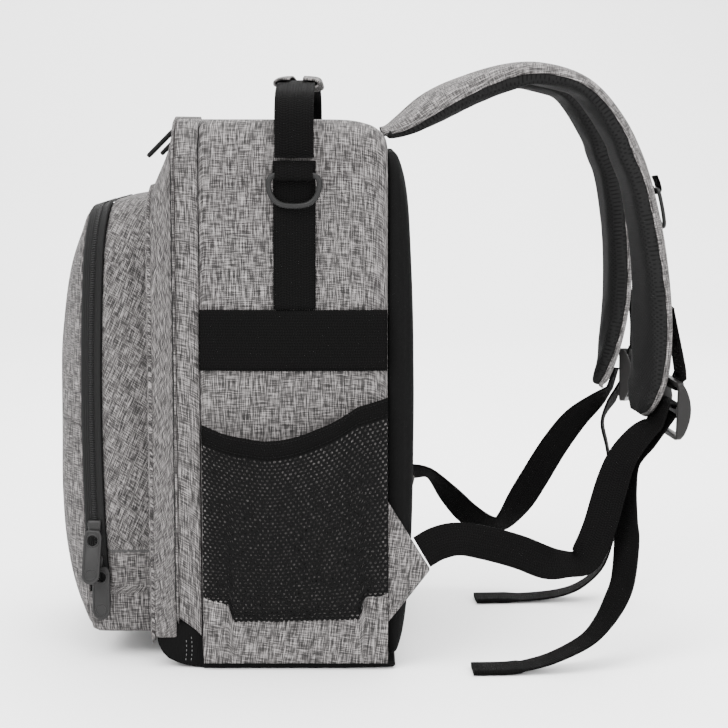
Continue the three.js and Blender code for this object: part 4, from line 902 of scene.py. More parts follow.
def base_panel():
    """A tray under the bag: flat below, its front lip turned up, its cheeks highest under the lid."""
    table = np.array([  # y, floor, cheek, inset
        (ORGANISER_FRONT_Y + 3, 21.0, 25.0, 4.5), (ORGANISER_FRONT_Y + 4, 16.0, 26.0, 4.5),
        (ORGANISER_FRONT_Y + 7, 10.5, 27.0, 4.2), (ORGANISER_FRONT_Y + 11, 6.5, 30.0, 4.0),
        (LID_FRONT_Y - ZIP_LINE, 3.6, 38.0, 3.6), (LID_FRONT_Y + 4, 1.9, 40.0, 3.4),
        (FRONT_SEAM_Y - 7, 0.7, 36.0, 3.2), (FRONT_SEAM_Y - 0.6, 0.0, 26.0, 3.0),
        (FRONT_SEAM_Y + 0.4, 0.0, 5.6, 1.4), (BACK_SEAM_Y - 30, 0.0, 5.6, 1.4),
        (BACK_SEAM_Y + 4, 1.2, 5.0, 1.6), (BACK_SEAM_Y + 6, 2.4, 4.65, 2.4),
    ])
    ys = np.unique(np.concatenate([table[:, 0], np.linspace(table[0, 0], table[-1, 0], 60)]))
    floor, cheek, inset = (np.interp(ys, table[:, 0], table[:, k]) for k in (1, 2, 3))
    rings = []
    for y, low, high, step in zip(ys, floor, cheek, inset):
        half = HALF - step
        r = min(4.0, (high - low) * 0.6)
        angle = np.linspace(0, pi / 2, 6)
        corner = np.stack([half - r + r * np.cos(angle), low + r - r * np.sin(angle)], 1)
        up = np.stack([np.full(5, half), np.linspace(high, low + r, 6)[:5]], 1)
        right = np.concatenate([up, corner])
        flat = np.linspace(half - r, r - half, 40)[1:-1]
        loop = np.concatenate([right, np.stack([flat, np.full(38, low)], 1), right[::-1] * [-1, 1]])
        rings.append(np.stack([loop[:, 0], np.full(len(loop), y), loop[:, 1]], 1))
    sheet("base_panel", np.stack(rings), "black_cloth", 2.0, replaces=["base_panel"])
    seams = Stitches()
    for side in (1, -1):
        for back in (8.0, 12.0):
            z = np.linspace(6, 30 - back * 0.6, 20)
            y = np.full(20, FRONT_SEAM_Y - back) - (z - 16) ** 2 * 0.008
            seams.run(np.stack([np.full(20, side * (HALF - 3.0)), y, z], 1), side_ways(side), 3.0)
    seams.build("base_stitches", "grey_thread", 0.6)


def back_panel():
    """The padded back: a soft cushion edge, with two stitched channels that run down it."""
    half, low, top = HALF - BACK_INSET, BASE_THICKNESS * 1.8, BODY_HEIGHT - 24
    middle = (low + top) / 2
    table = [  # depth share, share to the middle, growth
        (0.0, 0.0, -1.0), (0.05, 0.0, 0.3), (0.25, 0.0, 1.2), (0.5, 0.0, 1.3), (0.72, 0.006, 0.6),
        (0.88, 0.03, 0.0), (0.97, 0.07, 0.0), (1.0, 0.12, 0.0), (1.0, 0.25, 0.0), (1.0, 0.5, 0.0),
        (1.0, 0.96, 0.0),
    ]
    rings = []
    for depth, share, grow in smooth(table, 4):
        loop = outline(half + grow, low, top, CORNER_RADIUS, 12)
        x, z = loop[:, 0] * (1 - share), lerp(loop[:, 1], middle, share)
        height = (z - middle) / (top - low) * 2
        out = (BACK_PADDING - 3) * (1 - 0.45 * height ** 4) * depth
        crown = BACK_CROWN * ramp((depth - 0.8) / 0.2) * (1 - height ** 2) * (1 - (x / half) ** 2 * 0.3)
        groove = np.exp(-((np.abs(x) - 44) / 3.2) ** 2) * 3.0 * ramp(share / 0.12)
        pillow = ripple(x, z, 120, 31) * 0.8 * ramp(share / 0.2)
        rings.append(np.stack([x, BACK_SEAM_Y + SEAT + out + crown - groove + pillow, z], 1))
    panel("back_panel", rings, "black_cloth", 3.0, rim=18, replaces=["back_panel"])


# Each side

def on_side(side, y, z, off):
    """Places on the side panel, standing off it."""
    return np.stack([side * (side_x(y, z) + off), y, z], -1)


def side_ways(side):
    return np.array([side, 0.0, 0.0])


def net_top(u):
    return NET_TOP - NET_DIP * np.sin(pi * np.minimum(u * 1.05 + 0.12, 1)) + 14 * u ** 3


def net_bottom(u):
    step = ramp((u - 0.13) / 0.04) - ramp((u - 0.84) / 0.04)
    return FOOT_TOP - FOOT_STEP * step + 3 * u


def net_stand(u, v):
    """How far the net stands off the side: a pouch, with soft upright folds that fade towards its foot."""
    pouch = NET_STAND * np.sin(pi * np.clip(u, 0, 1)) ** 0.8 * (0.25 + 0.75 * v)
    fold = (np.sin(u * 19 + 1.2 * np.sin(v * 3.1)) * 1.5 + np.sin(u * 33 + 2.0 * v + 1.0) * 0.7)
    edge = ramp(u / 0.1) * ramp((1 - u) / 0.1)
    tucked = 2.2 * (1 - ramp(v / 0.07))
    return SEAT + 2.6 + pouch + fold * edge * (0.35 + 0.65 * v) - tucked


def pouch_y(u):
    """The depth of a place on the side pocket, whose u runs from the front seam to the back seam."""
    return lerp(FRONT_SEAM_Y + 1, BACK_SEAM_Y + 0.5, u)


def side_pieces(side, label):
    """The band across the side, the upright webbing above it, and the pocket below."""
    seated = SEAT + 0.3
    y = np.linspace(FRONT_SEAM_Y + 0.3, BACK_SEAM_Y - 0.2, 50)
    z = np.linspace(BAND_LOW, BAND_LOW + BAND_HEIGHT, 14)
    yy, zz = np.meshgrid(y, z)
    edge = ramp((zz - BAND_LOW) / 1.5) * ramp((BAND_LOW + BAND_HEIGHT - zz) / 1.5)
    wave = ripple(yy, zz, 60, 41) * 0.25
    grid = on_side(side, yy, zz, seated + WEBBING + wave - (1 - edge) * 0.5)
    sheet(f"side_band_{label}", grid, "webbing", WEBBING - 0.2, middle=BAG_MIDDLE,
          replaces=[f"side_band_{label}"])

    low, high = BAND_LOW + BAND_HEIGHT + SEAT, RING_BAR_Z + 10
    yy, zz = np.meshgrid(np.linspace(-0.52, 0.52, 13) * WEBBING_WIDTH + WEBBING_Y, np.linspace(low, high, 30))
    tuck = 1 - ramp((np.abs(yy - WEBBING_Y) - WEBBING_WIDTH * 0.48) / 1.4) * 0.4
    grid = on_side(side, yy, zz, seated + WEBBING * tuck)
    sheet(f"side_webbing_{label}", grid, "webbing", WEBBING - 0.3, swap=True,
          middle=BAG_MIDDLE, replaces=[f"side_webbing_{label}"])

    net_pocket(side, label)
    foot(side, label)


def net_surface(side, u, v):
    y = pouch_y(u)
    z = lerp(net_bottom(u) - 5, net_top(u) - HEM_WIDTH + 1.5, v)
    return on_side(side, y, z, net_stand(u, v * 0.93))


def net_pocket(side, label):
    """An open knit: a sheet of six-sided cells, each with a hole through it, laid over the pouch."""
    wide, tall, pitch = SIDE_DEPTH, 148.0, 3.7
    rise = pitch * 0.866
    columns, rows = int(wide / pitch) + 2, int(tall / rise) + 2
    row, column = np.meshgrid(np.arange(rows), np.arange(columns), indexing="ij")
    cx = (column + 0.5 * (row % 2)).ravel() * pitch
    cz = row.ravel() * rise
    keep = (cx < wide + pitch * 0.5) & (cz < tall + rise * 0.5)
    centre = np.stack([cx[keep], cz[keep]], 1)
    angle = np.arange(6) * pi / 3 + pi / 6
    way = np.stack([np.cos(angle), np.sin(angle)], 1)
    outer = centre[:, None] + way * pitch / np.sqrt(3)
    inner = centre[:, None] + way * pitch * 0.3
    flat = np.concatenate([outer, inner], 1).reshape(-1, 2)
    keys = np.round(flat, 2)
    _, first, back = np.unique(keys, axis=0, return_index=True, return_inverse=True)
    back = back.ravel()
    base = (np.arange(len(centre)) * 12)[:, None, None]
    quad = np.array([[k, (k + 1) % 6, 6 + (k + 1) % 6, 6 + k] for k in range(6)])
    faces = back[(base + quad).reshape(-1, 4)]
    spots = flat[first]
    u, v = np.clip(spots[:, 0] / wide, 0, 1), np.clip(spots[:, 1] / tall, 0, 1)
    points = net_surface(side, u, v)
    distinct = np.array([len(set(face)) == 4 for face in faces.tolist()])
    faces = faces[distinct]
    corner = points[faces]
    area = np.linalg.norm(np.cross(corner[:, 2] - corner[:, 0], corner[:, 3] - corner[:, 1]), axis=1)
    faces = faces[area > 0.02]
    if not facing(points, faces, BAG_MIDDLE):
        faces = faces[:, ::-1]
    used = np.unique(faces)
    place = np.full(len(points), -1)
    place[used] = np.arange(len(used))
    piece = add_mesh(f"mesh_pocket_{label}", points[used], [place[faces]], "net",
                     replaces=[f"mesh_pocket_{label}"])
    thicken(piece, 0.6)

    u = np.linspace(0, 1, 64)
    shares = np.array([0.0, 0.04, 0.12, 0.3, 0.5, 0.7, 0.88, 0.96, 1.0])
    rows = []
    for share in shares:
        y = pouch_y(u)
        z = lerp(net_top(u) - HEM_WIDTH, net_top(u), share)
        full = 1.7 * sin(pi * share) ** 0.4 if 0 < share < 1 else 0.0
        rows.append(on_side(side, y, z, net_stand(u, 0.95 + share * 0.05) + full))
    sheet(f"mesh_hem_{label}", np.stack(rows), "webbing", 1.3, replaces=[f"mesh_hem_{label}"])
    seams = Stitches()
    for share in (0.16, 0.84):
        z = lerp(net_top(u) - HEM_WIDTH, net_top(u), share)
        y = pouch_y(u)
        seams.run(on_side(side, y, z, net_stand(u, 0.98) + 1.45), side_ways(side), 3.0)
    seams.build(f"hem_stitches_{label}", "black_thread")


def foot(side, label):
    """The grey cloth below the net: it turns up at both ends, with a crease and two upright seams."""
    us = np.concatenate([np.linspace(0, 0.12, 8), np.linspace(0.13, 0.18, 9), np.linspace(0.2, 0.82, 44),
                         np.linspace(0.835, 0.885, 9), np.linspace(0.9, 1, 8)])
    rows = []
    for share in np.linspace(0, 1, 22):
        y = pouch_y(us)
        z = lerp(BASE_THICKNESS + SEAT, net_bottom(us) + 1, share)
        crease = np.exp(-((z - 29 - 2 * np.sin(us * 5)) / 1.8) ** 2) * 0.5
        seam = (np.exp(-((us - 0.235) * 90) ** 2) + np.exp(-((us - 0.86) * 90) ** 2)) * 0.5
        puff = ripple(y, z, 45, 55) * 0.3
        rows.append(on_side(side, y, z, SEAT + 1.9 + puff - crease - seam))
    sheet(f"pocket_foot_{label}", np.stack(rows), "fold_cloth", 1.4, swap=True,
          replaces=[f"pocket_foot_{label}"])
    u = np.linspace(0.01, 0.99, 80)
    y = pouch_y(u)
    seams = Stitches()
    seams.run(on_side(side, y, net_bottom(u) - 2.0, SEAT + 2.0), side_ways(side), 3.0)
    seams.build(f"foot_stitches_{label}", "grey_thread", 0.5)


def ring_path(width, drop, count=28):
    """A D-shaped ring seen flat: a straight bar on top, a full bow below."""
    angle = np.linspace(0, pi, count)
    bow = np.stack([-squared_up(np.cos(angle), 0.7) * width / 2, -np.sin(angle) ** 0.7 * drop], 1)
    bar = np.stack([np.linspace(width / 2, -width / 2, 9)[1:-1], np.zeros(7)], 1)
    return np.concatenate([bow, bar])


def wire_ring(name, bar, across, down, wire, width, drop, look, body):
    """Round wire along the D: its corners are drawn in a little, as bent wire is."""
    shape = ring_path(width - wire, drop - wire / 2)
    for _ in range(2):
        shape = (np.roll(shape, 1, 0) + shape * 2 + np.roll(shape, -1, 0)) / 4
    centres = bar + across * shape[:, :1] - down * shape[:, 1:]
    along = unit(np.roll(centres, -1, 0) - np.roll(centres, 1, 0))
    normal = np.broadcast_to(unit(np.cross(across, down)), centres.shape)
    outward = unit(np.cross(along, normal))
    sweep(name, centres, outward, normal, round_section(wire, 14), look, around=True, body=body,
          replaces=[name])


def folded_loop(name, bar, tail, outward, across, width, wire):
    """A short webbing folded round a ring's bar and sewn flat beyond it."""
    radius = wire / 2 + WEBBING / 2 + SEAT
    angle = np.linspace(0, pi, 12)[:, None]
    bend = bar - outward * radius * np.cos(angle) - tail * radius * np.sin(angle)
    first = (bar - outward * radius + tail * 3)[None]
    ends = np.stack([bar + outward * radius * 0.9 + tail * 5, bar + outward * radius * 0.55 + tail * 10])
    centres = np.concatenate([first, bend, ends])
    along = directions(centres)
    cross, face = square_to(np.broadcast_to(across, centres.shape), along)
    sweep(name, centres, cross, face, band_section(width, WEBBING), "webbing", replaces=[name])


def side_ring(side, label):
    """The large ring over the side webbing and the folded webbing that holds it."""
    seat = side_x(WEBBING_Y, RING_BAR_Z) + SEAT * 3 + WEBBING * 2 + 0.6
    bar = np.array([side * (seat + RING_WIRE / 2), WEBBING_Y, RING_BAR_Z])
    wire_ring(f"side_ring_{label}", bar, Y_WAY, -Z_WAY, RING_WIRE, RING_WIDTH, RING_DROP, "ring_paint",
              f"side_ring_{label}")
    folded_loop(f"ring_loop_{label}", bar, Z_WAY, side_ways(side), Y_WAY, WEBBING_WIDTH - 2, RING_WIRE)


# Handle

def handle():
    """The webbing over the top of the bag, from side to side, and the cloth wrapped round its middle."""
    foot_z = RING_BAR_Z + 12
    span = HANDLE_LENGTH / 2
    crest = BODY_HEIGHT + HANDLE_RISE
    rise = crest - foot_z

    def crest_at(x):
        return crest - HANDLE_SAG * (np.abs(x) / (WRAP_LENGTH / 2)) ** 2

    outside = side_x(WEBBING_Y, foot_z) + SEAT + WEBBING / 2 + 0.4
    half = smooth([
        (outside, foot_z), (outside + 0.2, foot_z + rise * 0.25), (outside - 0.6, foot_z + rise * 0.55),
        (lerp(outside, span, 0.35), foot_z + rise * 0.78), (span, foot_z + rise * 0.9),
        (WRAP_LENGTH / 2, crest_at(WRAP_LENGTH / 2)), (WRAP_LENGTH / 3, crest_at(WRAP_LENGTH / 3)),
        (WRAP_LENGTH / 6, crest_at(WRAP_LENGTH / 6)), (0, crest)], 5)
    line = np.concatenate([half, half[-2::-1] * [-1, 1]])
    centres = np.stack([line[:, 0], np.full(len(line), WEBBING_Y), line[:, 1]], 1)
    along = directions(centres)
    cross, face = square_to(np.broadcast_to(Y_WAY, centres.shape), along)
    sweep("handle_webbing", centres, cross, face, band_section(HANDLE_WEBBING_WIDTH, WEBBING), "webbing",
          replaces=["handle_webbing"])

    # The wrap: cloth bent over the webbing, its two flaps meeting in a notch on top.
    t = np.linspace(-1, 1, 41)
    angle = t * (pi - 0.12) - pi / 2
    a, b = squared_up(np.cos(angle), 0.6), squared_up(np.sin(angle), 0.7)
    notch = np.exp(-(a * 9) ** 2) * (b > 0) * 0.35
    xs = np.linspace(-WRAP_LENGTH / 2, WRAP_LENGTH / 2, 40)
    rows = []
    for x in xs:
        soft = ripple(x, a * 12, 40, 61) * 0.25
        rows.append(np.stack([np.full(len(a), x), WEBBING_Y + a * WRAP_WIDTH / 2,
                              crest_at(x) + (b - notch) * 4.0 + soft], 1))
    sheet("handle_wrap", np.stack(rows), "fold_cloth", 1.5, middle=(0, WEBBING_Y, crest), swap=True,
          replaces=["handle_wrap"])


# Shoulder straps

STRAP_ROUTE = [  # out, lift, side, twist, left twist, width, thickness
    (0, 0, 0, 0, 0, 0.96, 0.5), (0.085, 0.19, 0.05, 8, 8, 1, 0.8), (0.19, 0.5, 0.1, 12, 12, 1, 1),
    (0.325, 0.78, 0.2, 9.5, 9.5, 1, 1), (0.455, 0.967, 0.3, 6, 6, 1, 1), (0.57, 1, 0.4, 2.5, 4, 1, 1),
    (0.708, 0.825, 0.5, 0, 3, 1, 1), (0.8, 0.46, 0.6, -2, 2, 1, 1), (0.872, 0, 0.7, -3, 2, 1, 1),
    (0.93, -0.148, 0.8, -3.5, 2, 1, 1), (0.976, -0.376, 0.9, -7, 1, 1, 1), (0.998, -0.6, 1, -12, 0, 1, 1),
    (0.993, -0.76, 1, -14.5, -4, 0.99, 1), (0.978, -0.87, 1, -14.5, -8, 0.93, 0.95),
    (0.962, -0.94, 1, -14.5, -11, 0.76, 0.85), (0.95, -0.98, 1, -14.5, -14.5, 0.5, 0.75),
    (0.943, -1, 1, -14.5, -14.5, 0.22, 0.65),
]
ROOT_Y = lerp(FRONT_SEAM_Y, BACK_SEAM_Y, 0.982) + 1.6
ROOT_Z = BODY_HEIGHT - 14 + 1


def strap_stations(side, steps):
    """Centres, ways along, across and off the face, and widths, from the strap's root to its tip."""
    out, lift, wide, right, left, width, _ = smooth(STRAP_ROUTE, steps).T
    swing = LEFT_STRAP_SWING if side < 0 else 0.0
    centres = np.stack([
        side * (STRAP_ROOT_X + wide * STRAP_SPREAD),
        ROOT_Y + out * STRAP_REACH - swing * np.maximum(0, -lift) ** 1.5,
        ROOT_Z + lift * np.where(lift > 0, STRAP_RISE, STRAP_DROP)], 1)
    along = directions(centres)
    flat = np.broadcast_to(side_ways(side), centres.shape)
    flat = unit(flat - along * np.einsum("ij,ij->i", flat, along)[:, None])
    outward = unit(np.cross(along, flat))
    outward = outward * np.where(outward @ np.array([0, 0.5, 1.0]) < 0, -1, 1)[:, None]
    angle = np.radians(left if side < 0 else right)[:, None]
    across = flat * np.cos(angle) - outward * np.sin(angle)
    face = outward * np.cos(angle) + flat * np.sin(angle)
    return centres, along, across, face, width * STRAP_WIDTH


def strap_depths(steps):
    return smooth(STRAP_ROUTE, steps)[:, 6] * STRAP_THICKNESS


STRAP_SECTION = smooth([(-1, -0.2), (-0.9, -0.92), (0, -1), (0.9, -0.92), (1, -0.2), (0.95, 0.5), (0.7, 0.88),
                        (0, 1), (-0.7, 0.88), (-0.95, 0.5), (-1, -0.2)], 3)[:-1]


def strap_core(side, label, size=0.94):
    """The padding: a closed tube of the strap's section, filled by a cloth simulation with slight pressure
    so that it swells and dimples, and held back from moving more than a little."""
    centres, _, across, face, width = strap_stations(side, 4)
    scale = np.stack([width / 2 * size, strap_depths(4) / 2 * size * 0.96], 1)
    piece = sweep(f"shoulder_strap_{label}", centres, across, face, STRAP_SECTION, "mesh_padding",
                  scale=scale, replaces=[f"shoulder_strap_{label}"])
    swell(piece, 2.2, 5.0)
    return piece


SWELL_FRAMES = 20
SWELL_PRESSURE = 4.0
SWELL_STIFFNESS = 25
SWELL_BENDING = 2.0


def swell(piece, most, cell):
    """Remeshes the piece evenly in cells, runs the cloth under pressure and caps each point's movement at
    the most millimetres given."""
    mesh = piece.data
    remesh = piece.modifiers.new("even", "REMESH")
    remesh.mode = "VOXEL"
    remesh.voxel_size = cell * MM
    remesh.use_smooth_shade = True
    even = bpy.data.meshes.new_from_object(piece.evaluated_get(bpy.context.evaluated_depsgraph_get()))
    piece.modifiers.clear()
    slots = list(mesh.materials)
    name = mesh.name
    piece.data = even
    bpy.data.meshes.remove(mesh)
    even.name = name
    even.materials.clear()
    for item in slots:
        even.materials.append(item)
    count = len(even.vertices)
    start = np.zeros(count * 3)
    even.vertices.foreach_get("co", start)
    cloth = piece.modifiers.new("swell", "CLOTH")
    cloth.settings.use_pressure = True
    cloth.settings.uniform_pressure_force = SWELL_PRESSURE
    cloth.settings.effector_weights.gravity = 0.0
    cloth.settings.tension_stiffness = SWELL_STIFFNESS
    cloth.settings.compression_stiffness = SWELL_STIFFNESS
    cloth.settings.bending_stiffness = SWELL_BENDING
    cloth.settings.quality = 5
    cloth.point_cache.frame_start = 1
    cloth.point_cache.frame_end = SWELL_FRAMES
    for number in range(1, SWELL_FRAMES + 1):
        scene.frame_set(number)
    settled = piece.evaluated_get(bpy.context.evaluated_depsgraph_get())
    moved = np.zeros(count * 3)
    settled.data.vertices.foreach_get("co", moved)
    piece.modifiers.remove(cloth)
    scene.frame_set(1)
    step = (moved - start).reshape(-1, 3)
    far = np.linalg.norm(step, axis=1, keepdims=True)
    limit = most * MM
    step = step * (limit * np.tanh(far / limit) / np.maximum(far, 1e-9))
    even.vertices.foreach_set("co", (start.reshape(-1, 3) + step).ravel())
    even.polygons.foreach_set("use_smooth", [True] * len(even.polygons))
    even.update()
    finer = piece.modifiers.new("finer", "SUBSURF")
    finer.levels = 1
    finer.render_levels = 1


def unwrap_strap(piece, side):
    """Cloth coordinates on the swollen padding: along its route and across it."""
    centres, _, across, _, _ = strap_stations(side, 4)
    far = lengths(centres)
    mesh = piece.data
    count = len(mesh.vertices)
    spots = np.zeros(count * 3)
    mesh.vertices.foreach_get("co", spots)
    spots = spots.reshape(-1, 3) / MM
    near = np.argmin(((spots[:, None] - centres[None]) ** 2).sum(2), 1)
    along = directions(centres)[near]
    gap = spots - centres[near]
    u = far[near] + np.einsum("ij,ij->i", gap, along)
    v = np.einsum("ij,ij->i", gap, across[near])
    if not mesh.uv_layers:
        mesh.uv_layers.new(name="UVMap")
    corner = np.zeros(len(mesh.loops), int)
    mesh.loops.foreach_get("vertex_index", corner)
    mesh.uv_layers[0].data.foreach_set("uv", (np.stack([u, v], 1)[corner] * MM).ravel())


def strap_shell(side, label, core):
    """The grey outer cloth: it lies on the swollen padding, wraps round both edges and is turned under
    there, with a seam that draws it in."""
    centres, _, across, face, width = strap_stations(side, 5)
    dg = bpy.context.evaluated_depsgraph_get()
    tree = BVHTree.FromObject(core, dg)
    angle = np.radians(np.linspace(4, 176 if side > 0 else 152, 33))
    a, b = squared_up(np.cos(angle), 0.55), squared_up(np.sin(angle), 0.75)
    rows = []
    for centre, wide_way, off_way, wide in zip(centres, across, face, width):
        inner = centre + wide_way[None] * (a * wide / 2)[:, None] * 0.55
        outer = centre + wide_way[None] * (a * wide / 2)[:, None] * 1.35 + off_way[None] * (b * 22)[:, None]
        row = []
        for share, low, high in zip(np.linspace(0, 1, len(a)), inner, outer):
            way = unit(low - high)
            hit = tree.ray_cast(Vector(high * MM), Vector(way))
            spot = np.array(hit[0]) / MM if hit[0] is not None else low + (high - low) * 0.3
            seam = 0.35 * (1 - ramp(min(share, 1 - share) / 0.03))
            row.append(spot - way * (1.15 - seam))
        rows.append(row)
    grid = np.array(rows)
    keep = width > STRAP_WIDTH * 0.3
    grid = grid[keep]
    for _ in range(2):
        grid[1:-1] = (grid[:-2] + grid[1:-1] * 2 + grid[2:]) / 4
    piece = sheet(f"strap_cloth_{label}", grid, "strap_cloth", 1.0, middle=tuple(centres[len(centres) // 2]),
                  swap=True, bevel=0.0)
    orient_off(piece, grid, face[keep])
    seams = Stitches()
    for k in (2, len(a) - 3):
        normal = unit(grid[:, k] - centres[keep])
        seams.run(grid[:, k] + normal * 0.1, normal, 3.2)
    seams.build(f"strap_stitches_{label}", "grey_thread", 0.55)
    return piece


def orient_off(piece, grid, face):
    """Turns the sheet's faces if they look towards the padding."""
    rows, columns = grid.shape[:2]
    middle = columns // 2
    normal = np.array(piece.data.polygons[(rows // 2) * (columns - 1) + middle].normal)
    if normal @ face[rows // 2] < 0:
        piece.data.flip_normals()


RING_STATION = 37


def strap_ring(side, label):
    """The small ring on the strap's outer face and the webbing that holds it."""
    centres, along, across, face, _ = strap_stations(side, 4)
    k = RING_STATION
    bar = centres[k] + face[k] * (strap_depths(4)[k] / 2 + WEBBING + 1.5 + SEAT * 2)
    wire_ring(f"strap_ring_{label}", bar, across[k], along[k], 3.0, 26.0, 30.0, "ring_paint",
              f"strap_ring_{label}")
    folded_loop(f"strap_ring_loop_{label}", bar, -along[k], face[k], across[k], 16.0, 3.0)


# Buckles and lower webbing

def ladder_frame(side):
    """The buckle's centre, and its ways across, up and off its outer face."""
    swing = LEFT_STRAP_SWING * 0.82 if side < 0 else 0.0
    centre = np.array([side * (STRAP_ROOT_X + STRAP_SPREAD + 12), ROOT_Y + STRAP_REACH * 1.067 - swing,
                       ROOT_Z - STRAP_DROP * 0.965])
    across = unit([0.955 * side, 0.27, -0.12])
    up = np.array([0, -0.03, 1.0])
    up = unit(up - across * (up @ across))
    outward = unit(np.cross(across, up))
    if outward[1] < 0:
        outward = -outward
    return centre, across, up, outward


LADDER_SLOT = (LADDER_LENGTH - 3 * LADDER_BAR) / 2


def plate(name, loops, thickness, bevel, origin, across, up, look, bend=None, **more):
    """A flat plate with holes: closed outlines in millimetres, filled, given a thickness and soft edges,
    bent where asked, then set at its place by its own directions."""
    curve = bpy.data.curves.new(name, "CURVE")
    curve.dimensions = "2D"
    curve.fill_mode = "BOTH"
    curve.extrude = (thickness / 2 - bevel) * MM
    curve.bevel_depth = bevel * MM
    curve.bevel_resolution = 2
    curve.offset = -bevel * MM
    for loop in loops:
        line = curve.splines.new("POLY")
        line.points.add(len(loop) - 1)
        flat = np.concatenate([np.asarray(loop) * MM, np.zeros((len(loop), 1)), np.ones((len(loop), 1))], 1)
        line.points.foreach_set("co", flat.ravel())
        line.use_cyclic_u = True
    holder = bpy.data.objects.new(name + "_plan", curve)
    scene.collection.objects.link(holder)
    bpy.context.view_layer.update()
    made = bpy.data.meshes.new_from_object(holder.evaluated_get(bpy.context.evaluated_depsgraph_get()))
    spots = np.zeros(len(made.vertices) * 3)
    made.vertices.foreach_get("co", spots)
    spots = spots.reshape(-1, 3) / MM
    faces = [list(face.vertices) for face in made.polygons]
    bpy.data.objects.remove(holder)
    bpy.data.meshes.remove(made)
    off = np.cross(across, up)
    if bend is not None:
        spots = bend(spots)
    points = origin + spots[:, :1] * across + spots[:, 1:2] * up + spots[:, 2:] * off
    uv = np.concatenate([spots[face][:, :2] for face in faces])
    piece = add_mesh(name, points, [[face] for face in faces], look, uv, **more)
    tidy = piece.modifiers.new("joined", "WELD")
    tidy.merge_threshold = 0.00001
    smooth_by_angle(piece)
    return piece


def smooth_by_angle(piece, degrees=40):
    """Keeps the edges that are sharper than this."""
    piece.data.update()
    limit = radians(degrees)
    seen = {}
    for face in piece.data.polygons:
        for key in face.edge_keys:
            seen.setdefault(key, []).append(face.normal.copy())
    for edge in piece.data.edges:
        sides = seen.get(tuple(sorted(edge.vertices)), [])
        if len(sides) == 2 and sides[0].angle(sides[1], 0) > limit:
            edge.use_edge_sharp = True


def round_box(half_wide, low, high, radius, count=6):
    """A rectangle with round corners, as a closed outline."""
    loop = []
    corners = ((half_wide, high, 0), (-half_wide, high, 1), (-half_wide, low, 2), (half_wide, low, 3))
    for x, y, start in corners:
        cx, cy = x - np.sign(x) * radius, y + (radius if y == low else -radius)
        for t in np.linspace(0, 1, count):
            angle = (start + t) * pi / 2
            loop.append((cx + radius * cos(angle), cy + radius * sin(angle)))
    return loop


def refined(loop, step, upright_only=False):
    """A closed outline with its long edges cut into steps."""
    fine = []
    for a, b in zip(loop, loop[1:] + loop[:1]):
        count = max(int(np.hypot(b[0] - a[0], b[1] - a[1]) / step), 1)
        if upright_only and abs(a[0] - b[0]) >= 1:
            count = 1
        fine += [(lerp(a[0], b[0], k / count), lerp(a[1], b[1], k / count)) for k in range(count)]
    return fine


def ladder_lock(side, label):
    """The buckle: a frame with three bars, whose side rails swell outward between the ends."""
    centre, across, up, outward = ladder_frame(side)
    wide, tall, rim = LADDER_WIDTH / 2, LADDER_LENGTH / 2, LADDER_WIDTH / 2 - LADDER_RAIL
    sign = np.sign(np.cross(across, up) @ outward)

    def bend(spots):
        x, y, z = spots.T
        rise = LADDER_SWELL * np.clip(1 - (y / (tall - 2)) ** 2, 0, 1)
        share = ramp((np.abs(x) - rim + 1.0) / 2.2) * ramp(z * sign / LADDER_DEPTH + 0.5)
        return np.stack([x, y, z + sign * rise * share], 1)

    loops = [refined(round_box(wide, -tall, tall, 5.0, 7), 2.5)]
    for low in (LADDER_BAR / 2, -LADDER_BAR / 2 - LADDER_SLOT):
        loops.append(refined(round_box(rim, low, low + LADDER_SLOT, 1.6), 2.5, upright_only=True))
    plate(f"ladder_lock_{label}", loops, LADDER_DEPTH, 0.9, centre, across, up, "grey_plastic", bend=bend,
          replaces=[f"ladder_lock_{label}"])


TURN_RADIUS = np.hypot(LADDER_BAR, LADDER_DEPTH) / 2 + WEBBING / 2 + SEAT


def webbing_strip(name, centres, across, width, thickness=None, **more):
    """Webbing along a line of centres, each with its way across. thickness may differ from place to place."""
    along = directions(centres)
    cross, face = square_to(across, along)
    scale = None
    if thickness is not None:
        scale = np.stack([np.ones(len(centres)), thickness / WEBBING], 1)
    return sweep(name, centres, cross, face, band_section(width, WEBBING), "webbing", scale=scale, **more)


def buckle_tab(side, label):
    """A short webbing from the strap's outer face, folded round the buckle's upper bar."""
    centre, cross, up, outward = ladder_frame(side)
    bar = LADDER_BAR + LADDER_SLOT
    centres, along, across, face, width = strap_stations(side, 2)
    k = len(centres) - 11
    start = (centres[k] + across[k] * 0.2 * width[k] / 2
             + face[k] * (strap_depths(2)[k] / 2 + SEAT * 2 + WEBBING / 2 + 0.5))
    line = [start, start + along[k] * 9 + face[k] * 1.1,
            centre + up * (bar + 7) + outward * TURN_RADIUS * 1.35]
    ways = [across[k], across[k], cross]
    for t in np.linspace(0, 1, 7):
        angle = pi * (t - 0.6)
        line.append(centre + up * (bar - TURN_RADIUS * cos(angle)) - outward * TURN_RADIUS * sin(angle))
        ways.append(cross)
    rows = smooth(np.concatenate([np.array(line), np.array(ways)], 1), 3)
    webbing_strip(f"buckle_tab_{label}", rows[:, :3], rows[:, 3:], SMALL_WEBBING_WIDTH,
                  replaces=[f"buckle_tab_{label}"])


WING_POSE = {"right": (16.0, 0.0), "left": (58.0, 22.0)}


def wing_point(side, label, out, share):
    """A place on the folded tab: out runs to its tip, share from its lower to its upper edge."""
    turn_deg, lift = WING_POSE[label]
    turn = radians(turn_deg)
    x = HALF - WING_INSET - WING_LENGTH * (1 - np.cos(turn * out)) / turn
    y = BACK_SEAM_Y + SEAT + WING_LENGTH * np.sin(turn * out) / turn
    z = WING_LOW + WING_HEIGHT * lerp(0.42 * out, 1 - 0.56 * out, share) + lift * out * out
    return np.stack(np.broadcast_arrays(side * x, y, z), -1)


